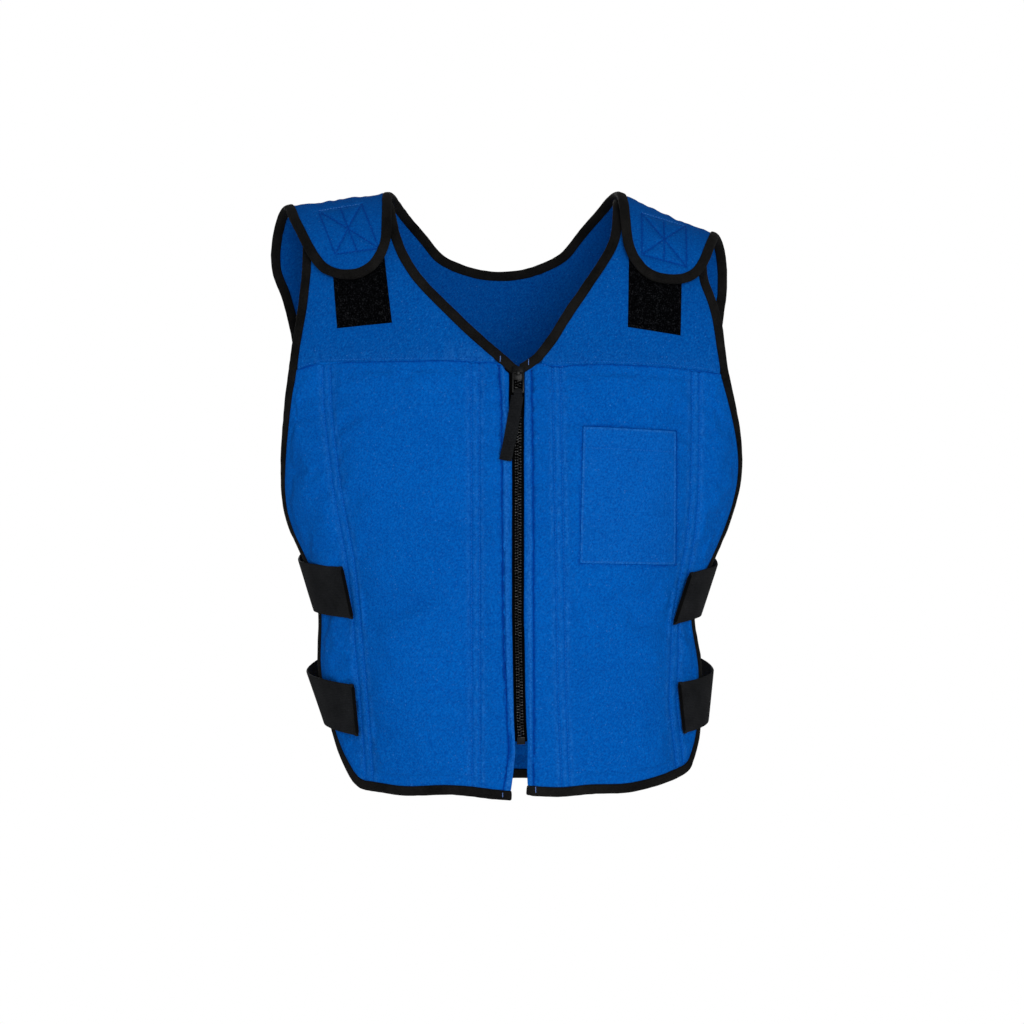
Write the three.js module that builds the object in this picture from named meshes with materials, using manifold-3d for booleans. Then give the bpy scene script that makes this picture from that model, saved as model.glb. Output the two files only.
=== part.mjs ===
// A cooling vest for work, in the form that it keeps on a wearer: padded twill panels with sewn channels,
// black binding round the free edges, a front zip, shoulder flaps that close onto loop patches, and four
// hook straps across the open sides. Millimetres, +Z up, the front faces -Y, and the wearer's right is -X.
// The origin lies at the middle of the shoulders, where the vest rests.
import * as THREE from "three";
import { mergeVertices } from "three/addons/utils/BufferGeometryUtils.js";
import Module from "manifold-3d";

const wasm = await Module();
wasm.setup();

// Driving dimensions
const vestLength = 608; // from the top of the shoulders down to the hem
const chestHalf = 240; // half the width at the armholes, where the vest is widest
const chestFront = 130; // from the shoulder line forward to the chest
const chestBack = 105; // from the shoulder line back to the shoulder blades
const crestDrop = 135; // height over which the chest rounds back into the shoulder
const sectionPower = 0.85; // below 1 makes the horizontal sections squarer than an ellipse

const panelThickness = 3.6; // two layers of twill and the liner, where they are sewn together
const panelPuff = 2.6; // how far the filling swells a panel between its seams
const flapThickness = 4.2; // the shoulder pieces that come over from the back
const patchThickness = 1.8; // loop patches
const pocketThickness = 1.6;
const bindingWidth = 9;
const bindingProud = 0.8; // how far the binding stands out of the cloth, front and back

const sewnGap = 0.4; // between pieces that are sewn edge to edge
const layGap = 0.8; // between pieces that lie on each other

const strapWidth = 52;
const strapThickness = 2;

const zipGapHalf = 6; // from the middle of the zip to the edge of each front
const zipBottom = 555; // depth of the lower end of the zip below the shoulders
const tapeThickness = 1;
const tapeHalf = 20; // from the middle of the zip to the sewn edge of its tape
const teethHalf = 3;
const teethThickness = 2.4;

const sliderWidth = 11;
const sliderLength = 14;
const plateThickness = 1.4;
const plateRise = 11; // how far the slider's front plate reaches above the ends of the teeth
const headHeight = 3.2; // the slider's solid head, above the ends of the teeth
const bridgeWidth = 3.6;
const pinRadius = 0.9; // the puller's round bar, which turns in the bridge
const pinClearance = 0.5;
const pullerWidth = 12;
const pullerLength = 21;
const pullerBar = 1.8; // thickness of the puller, and of its lower crossbar
const tabWidth = 11.5;
const tabLength = 68;
const tabThickness = 2.2;
const tabLean = 8.5; // degrees that the cloth tab leans to the wearer's right

const rows = (columns, values) =>
  values.map((row) => Object.fromEntries(columns.map((name, i) => [name, row[i]])));

// The body under the vest: half widths on the wearer's right and left as shares of chestHalf, and depths as
// shares of chestFront and chestBack, at heights that are shares of vestLength.
const form = rows(["up", "right", "left", "front", "back"], [
  [-1.0, 0.79, 0.79, 0.91, 0.9],
  [-0.905, 0.8, 0.79, 0.93, 0.9],
  [-0.8, 0.862, 0.8, 0.955, 0.9],
  [-0.7, 0.85, 0.76, 0.985, 0.91],
  [-0.617, 0.915, 0.838, 1.0, 0.95],
  [-0.551, 1.0, 0.915, 1.0, 0.99],
  [-0.465, 1.037, 0.975, 1.0, 1.02],
  [-0.354, 1.1, 1.02, 0.965, 1.03],
  [-0.271, 1.19, 1.12, 0.9, 1.0],
  [-0.164, 1.25, 1.22, 0.83, 0.95],
  [0.03, 1.27, 1.25, 0.8, 0.86],
]);

// The top of the shoulders across the body: the wearer's left shoulder slopes more.
const crestLine = rows(["out", "rise"], [
  [-1.1, -0.16],
  [-0.75, -0.08],
  [-0.5, -0.03],
  [0, 0],
  [0.38, -0.01],
  [0.6, -0.18],
  [0.86, -0.36],
  [1.1, -0.5],
]);

// Edges of the cloth inside the binding. out is a share of chestHalf, up a share of vestLength, and heights
// above the chest are counted along the cloth.
const edge = ["out", "up"];
const strapEnd = 0.066; // where the front straps end, at the top of the shoulder
const sides = {
  right: {
    sign: -1,
    neck: rows(edge, [
      [0.079, -0.289],
      [0.2, -0.247],
      [0.361, -0.184],
      [0.441, -0.149],
      [0.525, -0.089],
      [0.56, -0.02],
      [0.58, strapEnd],
    ]),
    neckPoint: { out: 0.027, up: -0.307 },
    strapSide: rows(edge, [
      [0.931, -0.298],
      [0.91, -0.243],
      [0.889, -0.187],
      [0.875, -0.11],
      [0.88, -0.02],
      [0.885, strapEnd],
    ]),
    yokeSeam: rows(edge, [
      [0.931, -0.298],
      [0.83, -0.286],
      [0.55, -0.286],
      [0.3, -0.285],
      [0.079, -0.289],
    ]),
    bodySide: rows(edge, [
      [0.692, -0.967],
      [0.74, -0.938],
      [0.775, -0.895],
      [0.815, -0.845],
      [0.835, -0.79],
      [0.826, -0.7],
      [0.845, -0.66],
      [0.882, -0.616],
      [0.946, -0.573],
      [0.984, -0.519],
      [0.984, -0.464],
      [0.972, -0.41],
      [0.953, -0.347],
      [0.931, -0.298],
    ]),
    hem: rows(edge, [
      [0.692, -0.967],
      [0.655, -0.982],
      [0.58, -0.985],
      [0.474, -0.99],
      [0.284, -0.985],
      [0.1, -0.992],
      [0.025, -0.994],
    ]),
    outerChannel: rows(edge, [
      [0.63, -0.984],
      [0.66, -0.82],
      [0.676, -0.75],
      [0.71, -0.615],
      [0.769, -0.477],
      [0.804, -0.36],
      [0.81, -0.286],
    ]),
    middleChannel: { bottom: 0.175, top: 0.179 },
    placket: { bottom: 0.06, top: 0.079 },
  },
  left: {
    sign: 1,
    neck: rows(edge, [
      [0.092, -0.289],
      [0.163, -0.253],
      [0.218, -0.2155],
      [0.289, -0.176],
      [0.353, -0.1365],
      [0.426, -0.084],
      [0.44, -0.02],
      [0.446, strapEnd],
    ]),
    neckPoint: { out: 0.027, up: -0.305 },
    strapSide: rows(edge, [
      [0.851, -0.304],
      [0.821, -0.219],
      [0.796, -0.159],
      [0.763, -0.109],
      [0.77, -0.02],
      [0.78, strapEnd],
    ]),
    yokeSeam: rows(edge, [
      [0.851, -0.304],
      [0.76, -0.299],
      [0.6, -0.294],
      [0.35, -0.291],
      [0.16, -0.294],
      [0.092, -0.289],
    ]),
    bodySide: rows(edge, [
      [0.718, -0.952],
      [0.75, -0.925],
      [0.757, -0.87],
      [0.7625, -0.798],
      [0.73, -0.73],
      [0.722, -0.69],
      [0.758, -0.658],
      [0.821, -0.609],
      [0.865, -0.567],
      [0.907, -0.524],
      [0.935, -0.46],
      [0.917, -0.403],
      [0.883, -0.347],
      [0.851, -0.304],
    ]),
    hem: rows(edge, [
      [0.718, -0.952],
      [0.667, -0.966],
      [0.5655, -0.976],
      [0.449, -0.985],
      [0.3, -0.984],
      [0.18, -0.989],
      [0.025, -0.985],
    ]),
    outerChannel: rows(edge, [
      [0.69, -0.961],
      [0.66, -0.85],
      [0.672, -0.72],
      [0.727, -0.598],
      [0.744, -0.52],
      [0.749, -0.4],
      [0.75, -0.299],
    ]),
    middleChannel: { bottom: 0.2, top: 0.16 },
    placket: { bottom: 0.065, top: 0.055 },
  },
};

// The back panel. Its shoulder pieces run on over the top of the shoulders, where past is the cloth's length
// beyond the top as a share of vestLength, and end in round flaps.
const over = ["out", "past"];
const backs = {
  right: {
    sign: -1,
    side: rows(edge, [
      [0.725, -0.965],
      [0.75, -0.93],
      [0.765, -0.87],
      [0.8, -0.78],
      [0.795, -0.7],
      [0.85, -0.62],
      [0.915, -0.555],
      [0.935, -0.49],
      [0.93, -0.4],
      [0.933, -0.304],
    ]),
    blade: rows(edge, [
      [0.933, -0.304],
      [0.965, -0.22],
      [1.01, -0.14],
    ]),
    shoulder: rows(over, [
      [1.01, -0.222],
      [1.045, -0.181],
      [1.03, -0.115],
      [0.973, 0],
      [0.932, 0.095],
      [0.89, 0.143],
      [0.848, 0.179],
      [0.812, 0.202],
    ]),
    flapEnd: rows(over, [
      [0.812, 0.202],
      [0.77, 0.215],
      [0.7, 0.222],
      [0.637, 0.217],
      [0.596, 0.2],
    ]),
    collar: rows(over, [
      [0.36, -0.186],
      [0.45, -0.14],
      [0.53, -0.085],
      [0.574, 0],
      [0.571, 0.14],
      [0.572, 0.18],
      [0.596, 0.2],
    ]),
  },
  left: {
    sign: 1,
    side: rows(edge, [
      [0.71, -0.965],
      [0.735, -0.93],
      [0.74, -0.87],
      [0.745, -0.798],
      [0.71, -0.7],
      [0.78, -0.62],
      [0.85, -0.555],
      [0.88, -0.49],
      [0.87, -0.4],
      [0.855, -0.304],
    ]),
    blade: rows(edge, [
      [0.855, -0.304],
      [0.865, -0.22],
      [0.88, -0.14],
    ]),
    shoulder: rows(over, [
      [0.88, -0.222],
      [0.885, -0.181],
      [0.87, -0.115],
      [0.822, 0],
      [0.812, 0.058],
      [0.794, 0.104],
      [0.763, 0.164],
      [0.724, 0.196],
    ]),
    flapEnd: rows(over, [
      [0.724, 0.196],
      [0.681, 0.211],
      [0.617, 0.218],
      [0.557, 0.217],
      [0.515, 0.206],
    ]),
    collar: rows(over, [
      [0.22, -0.186],
      [0.31, -0.14],
      [0.39, -0.085],
      [0.439, 0],
      [0.457, 0.095],
      [0.465, 0.147],
      [0.482, 0.192],
      [0.515, 0.206],
    ]),
  },
};
// between the two collar edges
const backNeck = rows(over, [
  [-0.22, -0.21],
  [-0.07, -0.218],
  [0.08, -0.21],
]);
const backSeam = rows(edge, [
  [-0.933, -0.304],
  [-0.5, -0.292],
  [0, -0.29],
  [0.5, -0.292],
  [0.855, -0.304],
]);
const backHem = rows(edge, [
  [-0.725, -0.965],
  [-0.66, -0.98],
  [-0.4, -0.986],
  [0, -0.988],
  [0.4, -0.986],
  [0.65, -0.98],
  [0.71, -0.965],
]);
const backChannels = [-0.5, -0.17, 0.15, 0.46]; // shares of chestHalf

// Loop patches, the pocket and the straps
const patches = {
  right: rows(edge, [[0.76, -0.228], [0.528, -0.222], [0.585, -0.04], [0.81, -0.045]]),
  left: rows(edge, [[0.46, -0.229], [0.683, -0.242], [0.695, -0.045], [0.47, -0.045]]),
};
const pocket = rows(edge, [[0.256, -0.619], [0.667, -0.623], [0.664, -0.4], [0.27, -0.393]]);
// turn is the angle round the body from the front at the strap's upper edge, skew how much further round its
// lower edge lies, up the middle of the strap, and slack how far each edge stands off, as shares of strapWidth
const strapRow = ["turn", "skew", "up", "slackTop", "slackBottom"];
const straps = {
  strap_upper_right: { sign: -1, path: rows(strapRow, [
    [52.9, 0, -0.669, 0, 0],
    [70, 0, -0.664, 0, 0],
    [90, 0, -0.657, 0, 0],
    [108, 0, -0.64, 0, 0],
    [126, 0, -0.628, 0, 0],
  ]) },
  strap_lower_right: { sign: -1, path: rows(strapRow, [
    [52.4, 2.6, -0.865, 0, 0],
    [70, 0.5, -0.858, 0.02, 0],
    [90, 0, -0.848, 0.1, 0],
    [108, 0, -0.828, 0.03, 0],
    [126, 0, -0.815, 0, 0],
  ]) },
  strap_upper_left: { sign: 1, path: rows(strapRow, [
    [60, -3.4, -0.679, 0, 0],
    [72, -1, -0.672, 0, 0],
    [90, 0, -0.665, 0, 0],
    [108, 0, -0.648, 0, 0],
    [126, 0, -0.635, 0, 0],
  ]) },
  strap_lower_left: { sign: 1, path: rows(strapRow, [
    [55.2, 4.3, -0.862, 0, 0],
    [72, 1, -0.855, 0.02, 0],
    [90, 0, -0.845, 0.06, 0],
    [108, 0, -0.828, 0.02, 0],
    [126, 0, -0.815, 0, 0],
  ]) },
};

// Colours and finishes
const finish = (color, roughness, metalness = 0) =>
  new THREE.MeshStandardMaterial({ color, roughness, metalness, side: THREE.DoubleSide });
const twill = finish(0x0055b0, 0.85);
const bindingTape = finish(0x1c1a1a, 0.8);
const webbing = finish(0x1e1a1a, 0.85);
const loopPile = finish(0x0a0a0a, 0.95);
const zipCloth = finish(0x121212, 0.8);
const zipMetal = finish(0x18181a, 0.35, 0.6);

const vest = new THREE.Group();
function add(name, geometry, material, parent = vest) {
  const mesh = new THREE.Mesh(geometry, material);
  mesh.name = name;
  parent.add(mesh);
  return mesh;
}

// The body's surface
const crestArc = (Math.PI / 2) * Math.hypot(0.8 * chestFront, crestDrop) / Math.SQRT2;
const crestHeight = crestArc - crestDrop; // height of the shoulder's top, counted along the cloth

// Value of a column of a table at a place along another column, on a smooth curve through the rows
function smooth(table, along, column, at) {
  const last = table.length - 1;
  const place = Math.min(Math.max(at, table[0][along]), table[last][along]);
  let i = 0;
  while (i < last - 1 && table[i + 1][along] < place) i += 1;
  const slope = (k) => {
    const low = table[Math.max(k - 1, 0)];
    const high = table[Math.min(k + 1, last)];
    return (high[column] - low[column]) / (high[along] - low[along]);
  };
  const [from, to] = [table[i], table[i + 1]];
  const span = to[along] - from[along];
  const t = (place - from[along]) / span;
  const [t2, t3] = [t * t, t * t * t];
  return (2 * t3 - 3 * t2 + 1) * from[column] + (t3 - 2 * t2 + t) * span * slope(i)
    + (3 * t2 - 2 * t3) * to[column] + (t3 - t2) * span * slope(i + 1);
}

const halfWidth = (height, sign) =>
  chestHalf * smooth(form, "up", sign < 0 ? "right" : "left", height / vestLength);
const depth = (height, face) => (face < 0
  ? chestFront * smooth(form, "up", "front", height / vestLength)
  : chestBack * smooth(form, "up", "back", height / vestLength));

// Point at x across the body and at a height counted along the cloth. face is -1 on the front and 1 on the
// back, and cloth that runs past the top of the shoulder goes on down the other face.
function skin(x, up, face) {
  if (up > crestHeight) return skin(x, 2 * crestHeight - up, -face);
  const turn = Math.max(0, (up + crestDrop) / crestArc) * (Math.PI / 2);
  const round = Math.sin(turn);
  const height = Math.min(up, crestDrop * (round - 1));
  const out = Math.min(Math.abs(x) / halfWidth(height, Math.sign(x) || 1), 0.99);
  const rise = crestDrop * smooth(crestLine, "out", "rise", x / chestHalf);
  const y = face * depth(height, face) * (1 - out * out) ** (sectionPower / 2) * Math.cos(turn);
  return new THREE.Vector3(x, y, up > -crestDrop ? height + rise * round : up);
}

const step = 0.5;
function skinNormal(x, up, face) {
  const across = skin(x + step, up, face).sub(skin(x - step, up, face));
  const along = skin(x, up + step, face).sub(skin(x, up - step, face));
  return across.cross(along).multiplyScalar(-face).normalize();
}
const onSkin = (x, up, face, offset) =>
  skin(x, up, face).addScaledVector(skinNormal(x, up, face), offset);

// Flat curves: points hold x across and height along the cloth
const flat = (row, sign = 1) => new THREE.Vector2(
  sign * row.out * chestHalf,
  row.past === undefined ? row.up * vestLength : crestHeight + row.past * vestLength,
);
function curve(table, sign = 1, shift = 0) {
  const points = table.map((row) => flat(row, sign).add(new THREE.Vector2(0, shift)));
  const spline = new THREE.SplineCurve(points);
  return (t) => spline.getPointAt(t);
}
const line = (from, to) => (t) => from.clone().lerp(to, t);
const part = (whole, from, to) => (t) => whole(from + (to - from) * t);

// Place along a curve where it crosses x, for curves that run one way across the body
function crossing(whole, x) {
  let [low, high] = [0, 1];
  const rising = whole(1).x > whole(0).x;
  for (let i = 0; i < 30; i += 1) {
    const middle = (low + high) / 2;
    if (whole(middle).x < x === rising) low = middle;
    else high = middle;
  }
  return (low + high) / 2;
}

// Even places from 0 to 1, or between the stops of a longer line, so many in each span
const evenly = (count) => Array.from({ length: count + 1 }, (_, i) => i / count);
const between = (stops, counts) => counts.flatMap((count, i) =>
  evenly(count).slice(i ? 1 : 0).map((t) => stops[i] + (stops[i + 1] - stops[i]) * t));

// Grid of flat points between four edges that meet at their ends, with columns at the places in across
function fill(bottom, top, near, far, across, up) {
  const corner = (u, v) => (v === 0 ? bottom(u) : top(u));
  const grid = [];
  for (let j = 0; j <= up; j += 1) {
    const v = j / up;
    const row = [];
    for (const u of across) {
      const point = bottom(u).multiplyScalar(1 - v).addScaledVector(top(u), v)
        .addScaledVector(near(v), 1 - u).addScaledVector(far(v), u)
        .addScaledVector(corner(0, 0), -(1 - u) * (1 - v)).addScaledVector(corner(1, 0), -u * (1 - v))
        .addScaledVector(corner(0, 1), -(1 - u) * v).addScaledVector(corner(1, 1), -u * v);
      point.puff = Math.sqrt(Math.sin(Math.PI * Math.min(u, 1)) * Math.sin(Math.PI * Math.min(v, 1)));
      row.push(point);
    }
    grid.push(row);
  }
  return grid;
}

function geometryFrom(points, triangles) {
  const geometry = new THREE.BufferGeometry();
  const positions = new Float32Array(points.flatMap((p) => [p.x, p.y, p.z]));
  geometry.setAttribute("position", new THREE.BufferAttribute(positions, 3));
  geometry.setIndex(triangles);
  return geometry;
}

// Closed solid of cloth on the body: the grids join where their points meet. inner and outer give the
// offsets of the two faces at a point.
function clothSolid(grids, face, inner, outer) {
  const flats = [];
  const index = new Map();
  const numberOf = (point) => {
    const key = `${point.x.toFixed(2)} ${point.y.toFixed(2)}`;
    if (!index.has(key)) {
      index.set(key, flats.length);
      flats.push(point);
    }
    return index.get(key);
  };
  const quads = [];
  for (const grid of grids) {
    for (let j = 0; j + 1 < grid.length; j += 1) {
      for (let i = 0; i + 1 < grid[j].length; i += 1) {
        const ring = [grid[j][i], grid[j][i + 1], grid[j + 1][i + 1], grid[j + 1][i]];
        const turnsLeft = THREE.ShapeUtils.area(ring) > 0;
        const corners = ring.map(numberOf);
        quads.push(turnsLeft === face < 0 ? corners : corners.reverse());
      }
    }
  }
  const count = flats.length;
  const points = [
    ...flats.map((p) => onSkin(p.x, p.y, face, outer(p))),
    ...flats.map((p) => onSkin(p.x, p.y, face, inner(p))),
  ];
  const used = new Set(quads.flatMap((q) => q.map((a, k) => `${a} ${q[(k + 1) % 4]}`)));
  const triangles = [];
  for (const quad of quads) {
    const [a, b, c, d] = quad;
    triangles.push(a, b, c, a, c, d);
    triangles.push(c + count, b + count, a + count, d + count, c + count, a + count);
    quad.forEach((from, k) => {
      const to = quad[(k + 1) % 4];
      if (used.has(`${to} ${from}`)) return;
      triangles.push(from, from + count, to + count, from, to + count, to);
    });
  }
  return geometryFrom(points, triangles);
}

// Solid swept through rings of points that run the same way round
function sweptSolid(rings, closed) {
  const size = rings[0].length;
  const triangles = [];
  const spans = closed ? rings.length : rings.length - 1;
  for (let i = 0; i < spans; i += 1) {
    const [here, next] = [i * size, ((i + 1) % rings.length) * size];
    for (let k = 0; k < size; k += 1) {
      const beside = (k + 1) % size;
      triangles.push(here + k, here + beside, next + beside, here + k, next + beside, next + k);
    }
  }
  if (!closed) {
    const end = (rings.length - 1) * size;
    for (let k = 1; k + 1 < size; k += 1) {
      triangles.push(0, k + 1, k);
      triangles.push(end, end + k, end + k + 1);
    }
  }
  return outwards(geometryFrom(rings.flat(), triangles));
}

function outwards(geometry) {
  const points = geometry.getAttribute("position");
  const index = geometry.getIndex().array;
  const [a, b, c] = [new THREE.Vector3(), new THREE.Vector3(), new THREE.Vector3()];
  let volume = 0;
  for (let i = 0; i < index.length; i += 3) {
    a.fromBufferAttribute(points, index[i]);
    b.fromBufferAttribute(points, index[i + 1]);
    c.fromBufferAttribute(points, index[i + 2]);
    volume += a.dot(b.cross(c));
  }
  if (volume < 0) geometry.setIndex([...index].reverse());
  return geometry;
}

// Binding along an edge of cloth: flat points in order round the panel, which lies between two offsets
function binding(path, face, low, high, closed) {
  const last = path.length - 1;
  const middles = path.map((p) => onSkin(p.x, p.y, face, (low(p) + high(p)) / 2));
  const side = -face * Math.sign(THREE.ShapeUtils.area(path));
  const round = bindingWidth * 0.25;
  const heading = (from, to) => middles[to].clone().sub(middles[from]).normalize();
  return sweptSolid(path.map((p, i) => {
    const before = i > 0 || closed ? heading(i > 0 ? i - 1 : last, i) : heading(0, 1);
    const after = i < last || closed ? heading(i, i < last ? i + 1 : 0) : before;
    const way = before.clone().add(after).normalize();
    const mitre = 1 / Math.max(way.dot(after), 0.75);
    const normal = skinNormal(p.x, p.y, face);
    const outside = way.cross(normal).normalize().multiplyScalar(side * mitre);
    const [bottom, top] = [low(p) - bindingProud, high(p) + bindingProud];
    const section = [
      [sewnGap, bottom],
      [bindingWidth - round, bottom],
      [bindingWidth, bottom + round],
      [bindingWidth, top - round],
      [bindingWidth - round, top],
      [sewnGap, top],
    ];
    return section.map(([out, up]) => skin(p.x, p.y, face).addScaledVector(normal, up)
      .addScaledVector(outside, out));
  }), closed);
}

const gridColumn = (grid, i) => grid.map((row) => row.at(i));

// Front panels
const bodyOuter = (p) => panelThickness + panelPuff * p.puff;
const none = () => 0;
const panelEdge = () => panelThickness;

function front(side) {
  const { sign } = side;
  const apart = sewnGap; // the yoke and the body each keep this far from their seam
  const seam = curve(side.yokeSeam, sign);
  const lower = (point) => point.add(new THREE.Vector2(0, -apart));
  const hem = curve(side.hem, sign);
  const channel = curve(side.outerChannel, sign);
  const middleTop = sign * side.middleChannel.top * chestHalf;
  const middleBottom = sign * side.middleChannel.bottom * chestHalf;
  const placketTop = flat(side.yokeSeam.at(-1), sign);
  const zipTopPoint = new THREE.Vector2(sign * zipGapHalf, side.neckPoint.up * vestLength);
  const zipLowPoint = new THREE.Vector2(sign * zipGapHalf, side.hem.at(-1).up * vestLength);
  const lines = [
    { low: 0, high: 0, edge: curve(side.bodySide, sign) },
    { low: crossing(hem, channel(0).x), high: crossing(seam, channel(1).x), edge: channel },
    { low: crossing(hem, middleBottom), high: crossing(seam, middleTop) },
    { low: crossing(hem, sign * side.placket.bottom * chestHalf), high: 1 },
  ];
  const spans = [3, 7, 2];
  const upCount = 16;
  const lift = (table) => [{ ...table[0], up: table[0].up + apart / vestLength }, ...table.slice(1)];
  const yoke = fill(
    curve(side.yokeSeam, sign, apart),
    line(flat(side.strapSide.at(-1), sign), flat(side.neck.at(-1), sign)),
    curve(lift(side.strapSide), sign),
    curve(lift(side.neck), sign),
    between(lines.map(({ high }) => high), spans),
    12,
  );
  const ends = lines.map(({ low, high }) => [hem(low), lower(seam(high))]);
  const fitted = lines.map(({ edge: shape }, i) => (shape
    ? (t) => {
      const [from, to] = ends[i];
      const drift = line(from.clone().sub(shape(0)), to.clone().sub(shape(1)));
      return shape(t).add(drift(t));
    }
    : line(...ends[i])));
  const grids = spans.map((across, i) => fill(
    part(hem, lines[i].low, lines[i + 1].low),
    (t) => lower(part(seam, lines[i].high, lines[i + 1].high)(t)),
    fitted[i],
    fitted[i + 1],
    evenly(across),
    upCount,
  ));
  grids.push(fill(
    line(ends[3][0], zipLowPoint),
    line(lower(placketTop.clone()), zipTopPoint),
    fitted[3],
    line(zipLowPoint, zipTopPoint),
    evenly(2),
    upCount,
  ));
  const hemPath = grids.flatMap((grid, i) => (i === 0 ? grid[0] : grid[0].slice(1)));
  const path = [
    grids[3].at(-1).at(-1),
    ...[...grids[3].at(-1)].reverse().slice(1, -1),
    ...gridColumn(yoke, -1),
    ...[...yoke.at(-1)].reverse().slice(1, -1),
    ...gridColumn(yoke, 0).reverse(),
    ...gridColumn(grids[0], 0).reverse().slice(1),
    ...hemPath.slice(1),
  ];
  return { yoke, grids, path };
}

for (const [name, side] of Object.entries(sides)) {
  const { yoke, grids, path } = front(side);
  add(`front_yoke_${name}`, clothSolid([yoke], -1, none, panelEdge), twill);
  add(`front_body_${name}`, clothSolid(grids, -1, none, bodyOuter), twill);
  add(`front_binding_${name}`, binding(path, -1, none, panelEdge, false), bindingTape);
}

// Back panels. Past the shoulder blades the cloth rises clear of the front straps and patches beneath it.
const strapTop = panelThickness + bindingProud;
const flapBase = Math.max(strapTop + layGap, panelThickness + layGap + patchThickness + layGap) + bindingProud;
const riseStart = crestHeight - 0.2 * vestLength;
const riseEnd = crestHeight - 0.05 * vestLength;
const backInner = (p) => flapBase * THREE.MathUtils.smoothstep(p.y, riseStart, riseEnd);
const backOuter = (p) => backInner(p)
  + THREE.MathUtils.lerp(panelThickness, flapThickness, THREE.MathUtils.smoothstep(p.y, riseStart, riseEnd));

function back() {
  const seam = curve(backSeam);
  const hem = curve(backHem);
  const stops = (whole) => [0, ...backChannels.map((out) => crossing(whole, out * chestHalf)), 1];
  const [low, high] = [stops(hem), stops(seam)];
  const under = (t) => seam(t).add(new THREE.Vector2(0, -sewnGap));
  const above = (t) => seam(t).add(new THREE.Vector2(0, sewnGap));
  const drop = (table, shift) => [...table.slice(0, -1), { ...table.at(-1), up: table.at(-1).up + shift }];
  const sideEdge = (side) => curve(drop(side.side, -sewnGap / vestLength), side.sign);
  const uprights = low.map((place, i) => line(hem(place), under(high[i])));
  uprights[0] = sideEdge(backs.right);
  uprights[uprights.length - 1] = sideEdge(backs.left);
  const spans = [4, 3, 3, 3, 4];
  const body = spans.map((across, i) => fill(
    part(hem, low[i], low[i + 1]),
    part(under, high[i], high[i + 1]),
    uprights[i],
    uprights[i + 1],
    evenly(across),
    16,
  ));

  const neckRows = [{ ...backs.right.collar[0], out: -backs.right.collar[0].out }, ...backNeck];
  const neck = curve([...neckRows, backs.left.collar[0]]);
  const base = {};
  for (const [name, side] of Object.entries(backs)) {
    base[name] = line(flat(side.shoulder[0], side.sign), flat(side.collar[0], side.sign));
  }
  const collarAt = [crossing(seam, neck(0).x), crossing(seam, neck(1).x)];
  const lift = (table, shift) => [{ ...table[0], up: table[0].up + shift }, ...table.slice(1)];
  const blade = (side) => {
    const rising = curve(lift(side.blade, sewnGap / vestLength), side.sign);
    const end = flat(side.shoulder[0], side.sign).sub(flat(side.blade.at(-1), side.sign));
    return (t) => rising(t).addScaledVector(end, t);
  };
  const inward = collarAt.map((place, i) => line(above(place), neck(i)));
  const spread = evenly(6);
  const yoke = [
    fill(part(above, 0, collarAt[0]), base.right, blade(backs.right), inward[0], spread, 4),
    fill(part(above, ...collarAt), neck, inward[0], inward[1], spread, 4),
    fill(part(above, collarAt[1], 1), (t) => base.left(1 - t), inward[1], blade(backs.left), spread, 4),
  ];
  const shoulders = {};
  for (const [name, { sign, shoulder, collar, flapEnd }] of Object.entries(backs)) {
    shoulders[name] = fill(base[name], curve(flapEnd, sign), curve(shoulder, sign), curve(collar, sign), spread, 16);
  }

  const hemPath = body.flatMap((grid, i) => (i === 0 ? grid[0] : grid[0].slice(1)));
  const path = [
    ...hemPath,
    ...gridColumn(body.at(-1), -1).slice(1),
    ...gridColumn(yoke[2], -1).slice(1),
    ...gridColumn(shoulders.left, 0).slice(1),
    ...shoulders.left.at(-1).slice(1),
    ...gridColumn(shoulders.left, -1).reverse().slice(1),
    ...[...yoke[1].at(-1)].reverse().slice(1),
    ...gridColumn(shoulders.right, -1).slice(1),
    ...[...shoulders.right.at(-1)].reverse().slice(1),
    ...gridColumn(shoulders.right, 0).reverse().slice(1),
    ...gridColumn(yoke[0], 0).reverse().slice(1),
    ...gridColumn(body[0], 0).reverse().slice(1, -1),
  ];
  return { body, upper: [...yoke, ...Object.values(shoulders)], path };
}

const backParts = back();
add("back_body", clothSolid(backParts.body, 1, none, bodyOuter), twill);
add("back_yoke", clothSolid(backParts.upper, 1, backInner, backOuter), twill);
add("back_binding", binding(backParts.path, 1, backInner, backOuter, true), bindingTape);

// Loop patches on the front straps and the pocket on the wearer's left
function sewnPatch(corners, sign, base, thickness, across, up) {
  const [a, b, c, d] = corners.map((row) => flat(row, sign));
  const grid = fill(line(a, b), line(d, c), line(a, d), line(b, c), evenly(across), up);
  return clothSolid([grid], -1, () => base, () => base + thickness);
}
for (const [name, corners] of Object.entries(patches)) {
  const base = panelThickness + layGap;
  add(`loop_patch_${name}`, sewnPatch(corners, sides[name].sign, base, patchThickness, 4, 10), loopPile);
}
const overPanel = panelThickness + panelPuff + layGap;
add("chest_pocket", sewnPatch(pocket, 1, overPanel, pocketThickness, 6, 8), twill);

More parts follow.
